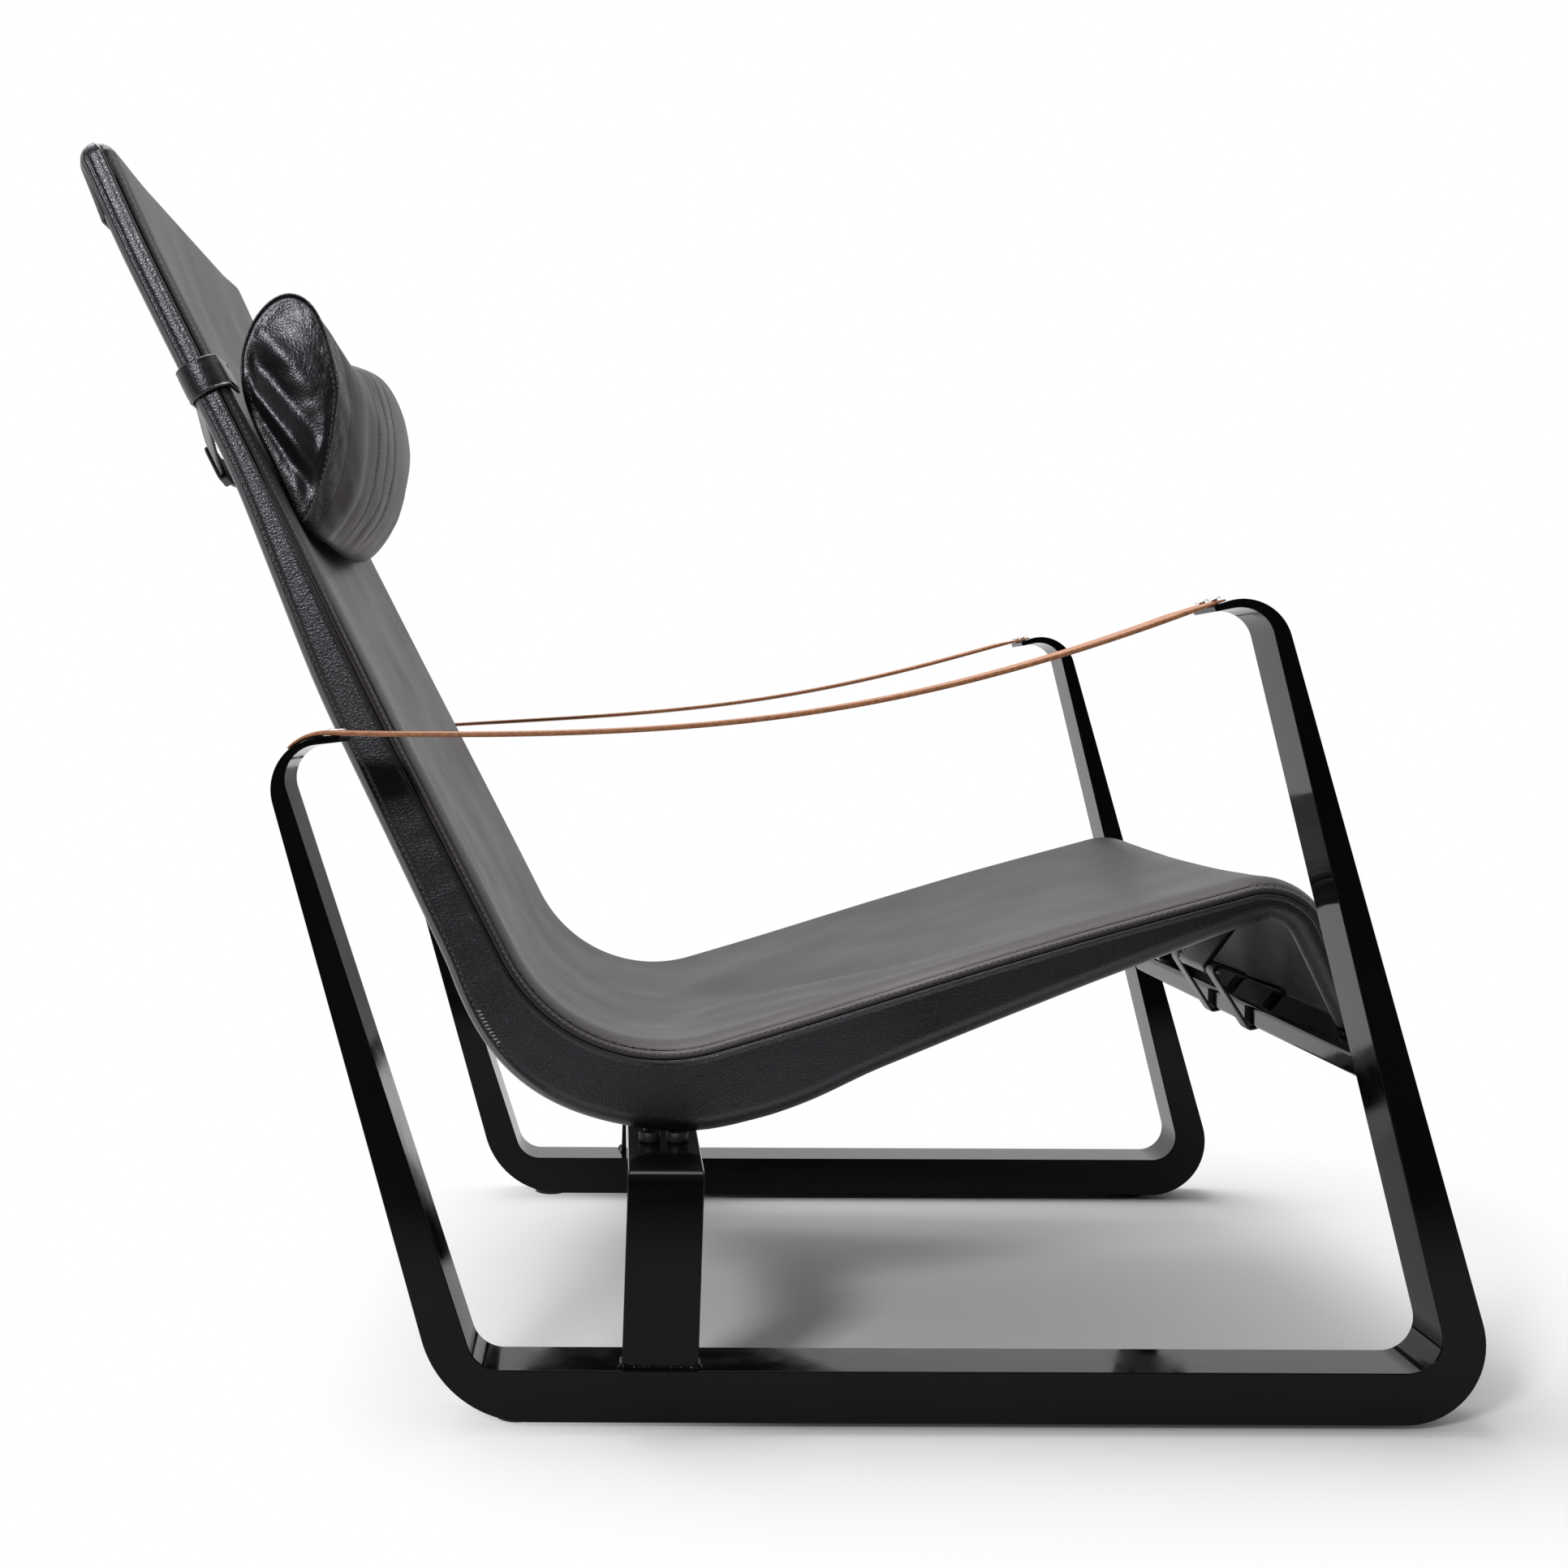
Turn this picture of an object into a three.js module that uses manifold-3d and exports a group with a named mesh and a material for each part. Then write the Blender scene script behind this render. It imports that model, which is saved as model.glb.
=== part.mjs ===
import * as THREE from 'three';
import { mergeVertices } from 'three/addons/utils/BufferGeometryUtils.js';
import Module from 'manifold-3d';

// Leather sling lounge chair.
// Millimetres, +Z up, +X to the front, +Y to the sitter's left, floor at Z = 0.

const wasm = await Module();
wasm.setup();

// Clearance between pieces that touch
const gap = 0.3;

// Side frames: hollow steel blades that lie on the floor, rise as two posts and end in thin tips
const overallWidth = 680;
const bladeWidth = 50;
const bladeWall = 2.5;
const baseLength = 679.5;
const baseDepth = 33.2;
const postLean = 15.75;
const postDepthLow = 29.4;
const postDepthHigh = 9.4;
const tipDepth = 4;
const frontCornerHeight = 539.5;
const rearCornerHeight = 439.5;
const frontTipLength = 43;
const rearTipLength = 55;
const frontTipSlope = 19.3;
const rearTipSlope = 1;
const frontFloorRadius = 51;
const rearFloorRadius = 71;
const frontTopRadius = 32;
const rearTopRadius = 34;
const innerRadius = 22;
const hollowShare = 0.78;

// Floor glides
const glideDiameter = 30;
const glideHeight = 4;
const glideStem = 8;
const frontGlideInset = 82;
const rearGlideInset = 46;

// Arm straps
const strapThickness = 3.2;
const strapEnd = 1.2;
const strapSkive = 26;
const strapSlack = 0.4;
const rivetSpacing = 28;
const rivetHead = 9;
const rivetShank = 4;

// Front crossbar between the posts
const crossbarHeight = 234.5;
const crossbarDepth = 31;
const crossbarThickness = 20;
const crossbarWall = 2.5;
const crossbarRadius = 4;

// Rear bridge: a folded channel that stands on both blades
const bridgeSetback = 113;
const bridgeLength = 49;
const bridgeHeight = 162;
const bridgeInset = 5;
const bridgeWall = 4;
const bridgeFlange = 22;
const bridgeFold = 9;
const bridgeLean = 1.65;
const spacerHeight = 6.6;
const spacerDiameter = 15;
const boltDiameter = 8;
const boltHead = 13;
const boltHeadHeight = 5;
const boltSpacing = 19;

// Rails and their leather: depth is measured at right angles to the sitting line
const railSpacing = 474;
const coverThickness = 24;
const leather = 2;
const railWall = 2.5;
const backAngle = 26.7;
const seatAngle = 16.5;
const dropAngle = 25.6;
const backLength = 713;
const bendRadius = 115;
const frontRadius = 50;
const headDepth = 24.6;
const taperRise = 473;
const waistRise = 313;
const waistDepth = 40;
const bendDepthBack = 46;
const bendDepthSeat = 64;
const frontDepth = 30;
const footDepth = 27;
const footSetback = 27.5;
const footReveal = 15;
const footPlug = 24;

// Sling sheet
const flapLength = 60;
const seatSag = 14;
const backSag = 8;
const hemDip = 24;
const panelWidth = 459;
const panelTuck = 42;

// Front fastening
const rodDiameter = 4;
const rodLength = 124;
const rodBack = 12.6;
const rodRise = 28;
const tensionStrapWidth = 20;
const tensionStrapSpacing = 100;
const tabWidth = 76;
const strapLeather = 2.5;

// Head cushion and its belt
const cushionLength = 410;
const cushionHeight = 150;
const cushionThickness = 77;
const cushionPlace = 286;
const channelSpacing = 64;
const channelDepth = 3;
const beltWidth = 24;
const beltThickness = 2.5;
const beltRise = 111;
const beltDrop = 31;
const beltBulge = 10;
const sliderPlace = 105;
const sliderLength = 24;
const sliderWidth = 30;
const sliderThickness = 7;

const rad = THREE.MathUtils.degToRad;
const vec = (x, z) => new THREE.Vector2(x, z);
const heading = (degrees) => vec(Math.cos(rad(degrees)), Math.sin(rad(degrees)));
const leftOf = (direction) => vec(-direction.y, direction.x);
const along = (point, direction, distance) => point.clone().addScaledVector(direction, distance);

// Point where two lines meet, each given by a point and a direction
function meet(p, u, q, v) {
  const reach = q.clone().sub(p).cross(v) / u.cross(v);
  return along(p, u, reach);
}

// Adds one corner of a line to a path, rounded by its radius
function addCorner(path, before, corner, after) {
  const back = before.clone().sub(corner).normalize();
  const ahead = after.clone().sub(corner).normalize();
  const half = Math.acos(THREE.MathUtils.clamp(back.dot(ahead), -1, 1)) / 2;
  const { radius } = corner;
  const centre = along(corner, back.clone().add(ahead).normalize(), radius / Math.sin(half));
  const start = along(corner, back, radius / Math.tan(half));
  const end = along(corner, ahead, radius / Math.tan(half));
  const from = start.clone().sub(centre).angle();
  const to = end.clone().sub(centre).angle();
  if (path.currentPoint.length() > 0) {
    path.lineTo(start.x, start.y);
  }
  const clockwise = back.cross(ahead) > 0;
  path.curves.push(new THREE.EllipseCurve(centre.x, centre.y, radius, radius, from, to, clockwise));
  path.currentPoint.copy(end);
}

const rounded = (point, radius) => Object.assign(point.clone(), { radius });

// Closed outline through corners, each rounded by its own radius
function outline(corners) {
  const shape = new THREE.Shape();
  corners.forEach((corner, i) => {
    const before = corners.at(i - 1);
    const after = corners[(i + 1) % corners.length];
    if (corner.radius > 0) {
      addCorner(shape, before, corner, after);
    } else if (i === 0) {
      shape.moveTo(corner.x, corner.y);
    } else {
      shape.lineTo(corner.x, corner.y);
    }
  });
  shape.closePath();
  return shape;
}

// The same corners with every side moved inwards; the corners run anticlockwise
function inset(corners, amount) {
  const count = corners.length;
  return corners.map((corner, i) => {
    const before = corners.at(i - 1);
    const after = corners[(i + 1) % count];
    const u = corner.clone().sub(before).normalize();
    const v = after.clone().sub(corner).normalize();
    const point = meet(along(corner, leftOf(u), amount), u, along(corner, leftOf(v), amount), v);
    const turn = u.cross(v) > 0 ? -amount : amount;
    return rounded(point, corner.radius > 0 ? Math.max(corner.radius + turn, 0.5) : 0);
  });
}

// Outline in the XZ plane as a solid of the given width across the chair
function slab(shape, width, y = 0, curveSegments = 5) {
  const body = new THREE.ExtrudeGeometry(shape, { depth: width, bevelEnabled: false, curveSegments });
  body.rotateX(Math.PI / 2);
  body.translate(0, y + width / 2, 0);
  return body;
}

// Strip of leather as an outline: a line along its underside with a thickness at each point
function ribbon(points, thickness) {
  const upper = points.map((point, i) => {
    const next = points[Math.min(i + 1, points.length - 1)];
    const last = points[Math.max(i - 1, 0)];
    return along(point, leftOf(next.clone().sub(last).normalize()), thickness(i));
  });
  return new THREE.Shape(points.concat(upper.reverse()));
}

// Closed body through equal rings of points, with both ends capped
function loft(rings) {
  const count = rings[0].length;
  const index = [];
  for (let r = 0; r + 1 < rings.length; r += 1) {
    for (let i = 0; i < count; i += 1) {
      const a = r * count + i;
      const b = r * count + ((i + 1) % count);
      index.push(a, b, b + count, a, b + count, a + count);
    }
  }
  const cap = (ring, offset, flip) => {
    const middle = ring.reduce((sum, p) => sum.add(p), new THREE.Vector3()).divideScalar(count);
    const normal = new THREE.Vector3();
    ring.forEach((p, i) => {
      const a = p.clone().sub(middle);
      const b = ring[(i + 1) % count].clone().sub(middle);
      normal.add(a.cross(b));
    });
    normal.normalize();
    const side = Math.abs(normal.y) < 0.9 ? new THREE.Vector3(0, 1, 0) : new THREE.Vector3(1, 0, 0);
    const u = side.cross(normal).normalize();
    const v = normal.clone().cross(u);
    const flat = ring.map((p) => vec(p.clone().sub(middle).dot(u), p.clone().sub(middle).dot(v)));
    THREE.ShapeUtils.triangulateShape(flat, []).forEach(([a, b, c]) => {
      const turn = flat[b].clone().sub(flat[a]).cross(flat[c].clone().sub(flat[a])) > 0;
      const face = turn === flip ? [a, c, b] : [a, b, c];
      index.push(...face.map((k) => k + offset));
    });
  };
  cap(rings[0], 0, true);
  cap(rings.at(-1), (rings.length - 1) * count, false);
  const positions = rings.flat().flatMap((p) => p.toArray());
  const signed = (k) => new THREE.Vector3().fromArray(positions, 3 * k);
  let volume = 0;
  for (let i = 0; i < index.length; i += 3) {
    volume += signed(index[i]).dot(signed(index[i + 1]).cross(signed(index[i + 2])));
  }
  const body = new THREE.BufferGeometry();
  body.setAttribute('position', new THREE.Float32BufferAttribute(positions, 3));
  body.setIndex(volume > 0 ? index : index.reverse());
  return body;
}

function toManifold(body) {
  const bare = body.clone();
  bare.deleteAttribute('normal');
  bare.deleteAttribute('uv');
  const merged = mergeVertices(bare, 1e-3);
  const vertProperties = new Float32Array(merged.attributes.position.array);
  const triVerts = new Uint32Array(merged.index.array);
  return new wasm.Manifold(new wasm.Mesh({ numProp: 3, vertProperties, triVerts }));
}

// One body less the bodies cut out of it
function cut(body, ...tools) {
  const left = tools.reduce((rest, tool) => rest.subtract(toManifold(tool)), toManifold(body));
  const mesh = left.getMesh();
  const result = new THREE.BufferGeometry();
  result.setAttribute('position', new THREE.Float32BufferAttribute(mesh.vertProperties, 3));
  result.setIndex(Array.from(mesh.triVerts));
  return result;
}

// Turned body about the Z axis from a profile of radius and height
function turned(profile, segments = 12) {
  return new THREE.LatheGeometry(profile, segments).rotateX(Math.PI / 2);
}

// Moves a body that was made about the Z axis to a point, with its axis along a direction in XZ
function stand(body, point, y, axis = vec(0, 1)) {
  body.rotateY(Math.atan2(axis.x, axis.y));
  body.translate(point.x, y, point.y);
  return body;
}

function drill(diameter, from, to) {
  const length = to - from;
  const body = new THREE.CylinderGeometry(diameter / 2, diameter / 2, length, 16).rotateX(Math.PI / 2);
  return body.translate(0, 0, (from + to) / 2);
}

// Bolt with its head below Z = 0 and its shank above
function bolt(shank, head, headHeight, length) {
  const profile = [vec(0, -headHeight), vec(head / 2 - 1, -headHeight), vec(head / 2, 1 - headHeight)];
  profile.push(vec(head / 2, 0), vec(shank / 2, 0), vec(shank / 2, length), vec(0, length));
  return turned(profile);
}

const chair = new THREE.Group();
chair.name = 'sling_lounge_chair';

const finishes = {
  lacquer: { color: 0x17181a, roughness: 0.22, metalness: 0.3 },
  hide: { color: 0x1b1b1d, roughness: 0.5, metalness: 0 },
  tan: { color: 0xa5683a, roughness: 0.6, metalness: 0 },
  nylon: { color: 0x101011, roughness: 0.6, metalness: 0 },
  zinc: { color: 0x9a9a98, roughness: 0.35, metalness: 0.9 },
};

function add(name, body, finish) {
  const mesh = new THREE.Mesh(body, new THREE.MeshStandardMaterial(finishes[finish]));
  mesh.name = name;
  mesh.material.name = finish;
  chair.add(mesh);
}

const sides = [['left', 1], ['right', -1]];

// Side frames

const floorLine = glideHeight;
const bladeY = (overallWidth - bladeWidth) / 2;
const postUp = vec(-Math.sin(rad(postLean)), Math.cos(rad(postLean)));
const rearFloor = vec(-baseLength * 0.3, floorLine);
const frontFloor = along(rearFloor, vec(1, 0), baseLength);
const postReach = (height) => (height - floorLine) / postUp.y;
const frontTop = along(frontFloor, postUp, postReach(frontCornerHeight));
const rearTop = along(rearFloor, postUp, postReach(rearCornerHeight));
const frontTipWay = heading(180 + frontTipSlope);
const rearTipWay = heading(rearTipSlope);
const frontTip = along(frontTop, frontTipWay, frontTipLength);
const rearTip = along(rearTop, rearTipWay, rearTipLength);
const frontTipUp = leftOf(frontTipWay).negate();
const rearTipUp = leftOf(rearTipWay);
const inwardFront = leftOf(postUp);
const inwardRear = leftOf(postUp).negate();

// Inner lines of the blades, which close in on the outer lines towards the tips
const frontInnerLow = along(frontFloor, inwardFront, postDepthLow);
const frontInnerHigh = along(frontTop, inwardFront, postDepthHigh);
const frontInnerWay = frontInnerHigh.clone().sub(frontInnerLow).normalize();
const rearInnerLow = along(rearFloor, inwardRear, postDepthLow);
const rearInnerHigh = along(rearTop, inwardRear, postDepthHigh);
const rearInnerWay = rearInnerHigh.clone().sub(rearInnerLow).normalize();
const innerFloor = vec(0, floorLine + baseDepth);
const frontInnerFloor = meet(frontInnerLow, frontInnerWay, innerFloor, vec(1, 0));
const rearInnerFloor = meet(rearInnerLow, rearInnerWay, innerFloor, vec(1, 0));
const frontTipUnder = along(frontTip, frontTipUp, -tipDepth);
const rearTipUnder = along(rearTip, rearTipUp, -tipDepth);
const frontUnderWay = along(frontTop, frontTipUp, -postDepthHigh).sub(frontTipUnder).normalize();
const rearUnderWay = along(rearTop, rearTipUp, -postDepthHigh).sub(rearTipUnder).normalize();
const frontInnerTop = meet(frontInnerLow, frontInnerWay, frontTipUnder, frontUnderWay);
const rearInnerTop = meet(rearInnerLow, rearInnerWay, rearTipUnder, rearUnderWay);

const bladeCorners = [
  rounded(rearFloor, rearFloorRadius),
  rounded(frontFloor, frontFloorRadius),
  rounded(frontTop, frontTopRadius),
  rounded(frontTip, 0),
  rounded(frontTipUnder, 0),
  rounded(frontInnerTop, innerRadius),
  rounded(frontInnerFloor, innerRadius),
  rounded(rearInnerFloor, innerRadius),
  rounded(rearInnerTop, innerRadius),
  rounded(rearTipUnder, 0),
  rounded(rearTip, 0),
  rounded(rearTop, rearTopRadius),
];
const level = (point, way, share, low, high) => {
  const height = THREE.MathUtils.lerp(low, high, share);
  return along(point, way, (height - point.y) / way.y);
};
const hollowCorners = [
  rounded(rearFloor, rearFloorRadius),
  rounded(frontFloor, frontFloorRadius),
  rounded(level(frontFloor, postUp, hollowShare, floorLine, frontCornerHeight), 0),
  rounded(level(frontInnerLow, frontInnerWay, hollowShare, floorLine, frontCornerHeight), 0),
  rounded(frontInnerFloor, innerRadius),
  rounded(rearInnerFloor, innerRadius),
  rounded(level(rearInnerLow, rearInnerWay, hollowShare, floorLine, rearCornerHeight), 0),
  rounded(level(rearFloor, postUp, hollowShare, floorLine, rearCornerHeight), 0),
];
const bladeBody = slab(outline(bladeCorners), bladeWidth);
const bladeHollow = slab(outline(inset(hollowCorners, bladeWall)), bladeWidth - 2 * bladeWall, 0, 4);

// Glides under the blades, with stems in holes of the lower wall
const glidePlaces = {
  front: along(frontFloor, vec(-1, 0), frontGlideInset),
  rear: along(rearFloor, vec(1, 0), rearGlideInset),
};
const stemHeight = glideHeight + 3 * bladeWall;
const stemHoles = Object.values(glidePlaces).map((place) => {
  return stand(drill(glideStem + 2 * gap, 0, stemHeight + bladeWall), vec(place.x, 0), 0);
});

// Rivets sit in the middle of each straight tip
const tipTangent = (radius, lean) => radius * Math.tan(rad(lean) / 2);
const frontTipStart = tipTangent(frontTopRadius, 90 - postLean + frontTipSlope);
const rearTipStart = tipTangent(rearTopRadius, 90 + postLean - rearTipSlope);
const frontRivet = along(frontTop, frontTipWay, (frontTipStart + frontTipLength) / 2);
const rearRivet = along(rearTop, rearTipWay, (rearTipStart + rearTipLength) / 2);
const rivetPlaces = { front: [frontRivet, frontTipUp], rear: [rearRivet, rearTipUp] };
const rivetRows = [['inner', -1], ['outer', 1]];
const rivetHoles = Object.values(rivetPlaces).flatMap(([place, up]) => rivetRows.map(([, row]) => {
  const hole = drill(rivetShank + 2 * gap, -postDepthHigh - tipDepth, 2 * strapThickness);
  return stand(hole, place, row * rivetSpacing / 2, up);
}));
const frameBody = cut(bladeBody, bladeHollow, ...stemHoles, ...rivetHoles);

// Arm strap: from the rear bend over the rear tip, sagging to the front tip and over it to its bend
const strapLift = 1.5 * gap;
const rearBend = meet(
  along(rearTop, rearTipUp, -rearTopRadius), rearTipWay,
  along(rearTop, inwardRear, rearTopRadius), postUp,
);
const strapLine = new THREE.Path();
const rearBendLift = rearTopRadius + strapLift;
strapLine.absarc(rearBend.x, rearBend.y, rearBendLift, rad(132), rearTipUp.angle(), true);
const strapRear = along(rearTip, rearTipUp, strapLift);
const strapFront = along(frontTip, frontTipUp, strapLift);
const strapHandle = strapSlack * strapRear.distanceTo(strapFront);
const strapRearHandle = along(strapRear, rearTipWay, strapHandle);
const strapFrontHandle = along(strapFront, frontTipWay, strapHandle);
strapLine.lineTo(strapRear.x, strapRear.y);
strapLine.bezierCurveTo(
  strapRearHandle.x, strapRearHandle.y,
  strapFrontHandle.x, strapFrontHandle.y,
  strapFront.x, strapFront.y,
);
const strapTop = along(along(frontTop, frontTipWay, frontTipStart), frontTipUp, strapLift);
strapLine.lineTo(strapTop.x, strapTop.y);
const strapPoints = strapLine.getPoints(12);
const strapRuns = strapPoints.map((point, i) => (i > 0 ? point.distanceTo(strapPoints[i - 1]) : 0));
const strapThin = (i) => {
  const before = strapRuns.slice(0, i + 1).reduce((sum, run) => sum + run, 0);
  const after = strapRuns.slice(i + 1).reduce((sum, run) => sum + run, 0);
  return THREE.MathUtils.lerp(strapEnd, strapThickness, Math.min(before / strapSkive, after / strapSkive, 1));
};
const strapBody = cut(slab(ribbon(strapPoints, strapThin), bladeWidth), ...rivetHoles);

const rivetTop = gap + strapThickness + gap;
const rivetProfile = [
  vec(0, -tipDepth),
  vec(rivetShank / 2, -tipDepth),
  vec(rivetShank / 2, rivetTop),
  vec(rivetHead / 2, rivetTop),
  vec(rivetHead / 2 - 1, rivetTop + 1.2),
  vec(rivetHead / 4, rivetTop + 1.8),
  vec(0, rivetTop + 2),
];

sides.forEach(([side, sign]) => {
  add(`side_frame_${side}`, frameBody.clone().translate(0, sign * bladeY, 0), 'lacquer');
  add(`arm_strap_${side}`, strapBody.clone().translate(0, sign * bladeY, 0), 'tan');
  Object.entries(rivetPlaces).forEach(([end, [place, up]]) => rivetRows.forEach(([row, offset]) => {
    const y = sign * (bladeY + offset * rivetSpacing / 2);
    add(`strap_rivet_${end}_${row}_${side}`, stand(turned(rivetProfile, 10), place, y, up), 'zinc');
  }));
  Object.entries(glidePlaces).forEach(([end, place]) => {
    const glide = turned([
      vec(0, 0),
      vec(glideDiameter / 2 - 1, 0),
      vec(glideDiameter / 2, 1),
      vec(glideDiameter / 2, glideHeight - gap),
      vec(glideStem / 2, glideHeight - gap),
      vec(glideStem / 2, stemHeight),
      vec(0, stemHeight),
    ], 20);
    add(`glide_${end}_${side}`, stand(glide, vec(place.x, 0), sign * bladeY), 'nylon');
  });
});

// Front crossbar: box bar that leans with the posts, its rear face in line with theirs
const barRear = level(frontInnerLow, frontInnerWay, 1, 0, crossbarHeight);
const barAcross = vec(postUp.y, -postUp.x);
const barUp = postUp;
const barPoint = (across, up) => along(along(barRear, barAcross, across), barUp, up);
const barCorners = [
  rounded(barPoint(0, -crossbarThickness), crossbarRadius),
  rounded(barPoint(crossbarDepth, -crossbarThickness), crossbarRadius),
  rounded(barPoint(crossbarDepth, 0), crossbarRadius),
  rounded(barPoint(0, 0), crossbarRadius),
];
const barShape = outline(barCorners);
barShape.holes.push(new THREE.Path(outline(inset(barCorners, crossbarWall)).getPoints(2)));
const barSpan = overallWidth - 2 * bladeWidth - 2 * gap;
const railY = railSpacing / 2;
const footPoint = barPoint(footSetback, 0);
const footHoleDepth = footPlug * 0.6;
const footHole = (y) => {
  const hole = drill(boltDiameter + 2 * gap, -2 * crossbarThickness, footHoleDepth + gap);
  return stand(hole, footPoint, y, barUp);
};
add('front_crossbar', cut(slab(barShape, barSpan, 0, 2), footHole(railY), footHole(-railY)), 'lacquer');
sides.forEach(([side, sign]) => {
  const body = bolt(boltDiameter, boltHead, boltHeadHeight, crossbarThickness + gap + footHoleDepth);
  const under = barPoint(footSetback, -crossbarThickness - gap);
  add(`foot_bolt_${side}`, stand(body, under, sign * railY, barUp), 'lacquer');
});

// Rear bridge
const bridgeFoot = floorLine + baseDepth + gap;
const bridgeHalf = overallWidth / 2 - bridgeInset;
const bridgeRear = rearFloor.x + bridgeSetback;
const archCorners = (half, top, leg, foot, fold) => [
  rounded(vec(-half, foot), 0),
  rounded(vec(leg - half, foot), 0),
  rounded(vec(leg - half, top - leg), 0),
  rounded(vec(half - leg, top - leg), 0),
  rounded(vec(half - leg, foot), 0),
  rounded(vec(half, foot), 0),
  rounded(vec(half, top), fold),
  rounded(vec(-half, top), fold),
];
const arch = (corners, length) => {
  const body = new THREE.ExtrudeGeometry(outline(corners), { depth: length, bevelEnabled: false, curveSegments: 3 });
  body.rotateX(Math.PI / 2);
  body.rotateZ(Math.PI / 2);
  return body.translate(bridgeRear + (bridgeLength - length) / 2, 0, 0);
};
const bridgeOuter = archCorners(bridgeHalf, bridgeHeight, bridgeFlange, bridgeFoot, bridgeFold);
const bridgeOpen = archCorners(
  bridgeHalf - bridgeWall,
  bridgeHeight - bridgeWall,
  bridgeFlange,
  bridgeFoot - bridgeWall,
  bridgeFold - bridgeWall,
);
const bridgeSlope = Math.tan(rad(bridgeLean));
const bridgeLeaning = new THREE.Matrix4().makeShear(0, 0, 0, 0, bridgeSlope, 0);
const bridgeBlock = cut(arch(bridgeOuter, bridgeLength), arch(bridgeOpen, bridgeLength - 2 * bridgeWall));
bridgeBlock.translate(0, 0, -bridgeFoot);
bridgeBlock.applyMatrix4(bridgeLeaning);
bridgeBlock.translate(0, 0, bridgeFoot);
const bridgeMid = bridgeRear + bridgeLength / 2 + bridgeSlope * (bridgeHeight - bridgeFoot);
const boltPlaces = [['rear', -1], ['front', 1]].flatMap(([end, shift]) => sides.map(([side, sign]) => ({
  name: `${end}_${side}`,
  x: bridgeMid + shift * boltSpacing / 2,
  y: sign * railY,
})));
const boltUnder = bridgeHeight - bridgeWall - gap;
const boltLength = bridgeWall + gap + spacerHeight + 2 * gap + leather + gap + railWall + 2;
const bridgeHole = (place) => {
  const hole = drill(boltDiameter + 2 * gap, -boltHeadHeight, boltLength + 3 * gap);
  return hole.translate(place.x, place.y, boltUnder);
};
add('rear_bridge', cut(bridgeBlock, ...boltPlaces.map(bridgeHole)), 'lacquer');
boltPlaces.forEach((place) => {
  const body = bolt(boltDiameter, boltHead, boltHeadHeight, boltLength);
  add(`bridge_bolt_${place.name}`, body.translate(place.x, place.y, boltUnder), 'lacquer');
  const washer = new THREE.Shape().absarc(0, 0, spacerDiameter / 2, 0, 2 * Math.PI, false);
  washer.holes.push(new THREE.Path().absarc(0, 0, boltDiameter / 2 + gap, 0, 2 * Math.PI, true));
  const tube = new THREE.ExtrudeGeometry(washer, { depth: spacerHeight, bevelEnabled: false, curveSegments: 8 });
  add(`bridge_spacer_${place.name}`, tube.translate(place.x, place.y, bridgeHeight + gap), 'nylon');
});

// Sitting line of the cover: down the back, round the seat bend, along the seat and down the front drop.
// The bend's centre is over the bridge and the drop ends on the crossbar.

const backWay = heading(backAngle - 90);
const seatWay = heading(seatAngle);
const dropWay = heading(dropAngle - 90);
const coverHalf = coverThickness / 2;
const bendTurn = seatAngle - backAngle + 90;
const bendReach = bendRadius * Math.tan(rad(bendTurn) / 2);
const depthInBend = (share) => THREE.MathUtils.lerp(bendDepthBack, bendDepthSeat, share);
const bendUnderside = (share) => {
  const normal = leftOf(heading(backAngle - 90 + share * bendTurn));
  return -normal.y * (bendRadius + depthInBend(share));
};
const bendShares = Array.from({ length: 41 }, (_, i) => i / 40);
const bendLow = Math.min(...bendShares.map(bendUnderside));
const bendCentre = vec(bridgeMid, bridgeHeight + gap + spacerHeight + gap - bendLow);
const backTangent = along(bendCentre, leftOf(backWay), -bendRadius);
const bendCorner = along(backTangent, backWay, bendReach);
const headPoint = along(bendCorner, backWay, -backLength);
const dropNormal = leftOf(dropWay);
const footLine = along(footPoint, dropNormal, coverHalf);
const frontCorner = meet(bendCorner, seatWay, footLine, dropWay);
const dropEnd = along(footLine, dropWay, -footReveal);

const sittingLine = new THREE.Path();
sittingLine.moveTo(headPoint.x, headPoint.y);
const lineCorners = [headPoint, rounded(bendCorner, bendRadius), rounded(frontCorner, frontRadius), dropEnd];
addCorner(sittingLine, lineCorners[0], lineCorners[1], lineCorners[2]);
addCorner(sittingLine, lineCorners[1], lineCorners[2], lineCorners[3]);
sittingLine.lineTo(dropEnd.x, dropEnd.y);
const lineLengths = sittingLine.getCurveLengths();
const [bendStart, bendEnd, frontStart, frontEnd, lineEnd] = lineLengths;
const taperStart = backLength - taperRise;
const waistPlace = backLength - waistRise;

// Way and outward direction of the sitting line, and the cover's depth, at a distance from the head
const wayAt = (s) => {
  if (s <= bendStart) return backWay.clone();
  if (s >= frontEnd) return dropWay.clone();
  if (s >= bendEnd && s <= frontStart) return seatWay.clone();
  return sittingLine.getTangent(s / lineEnd);
};
const pointAt = (s) => {
  if (s <= bendStart) return along(headPoint, backWay, s);
  if (s >= lineEnd) return along(dropEnd, dropWay, s - lineEnd);
  return sittingLine.getPoint(s / lineEnd);
};
const depths = [
  [0, headDepth],
  [taperStart, headDepth],
  [waistPlace, waistDepth],
  [bendStart, bendDepthBack],
  [bendEnd, bendDepthSeat],
  [frontStart, frontDepth],
  [frontEnd, footDepth],
  [2 * lineEnd, footDepth],
];
const graded = (table, s) => {
  const next = Math.max(1, table.findIndex(([at]) => at >= s));
  const [from, low] = table[next - 1];
  const [to, high] = table[next];
  return THREE.MathUtils.lerp(low, high, THREE.MathUtils.clamp((s - from) / (to - from), 0, 1));
};
const depthAt = (s) => graded(depths, s);
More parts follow.
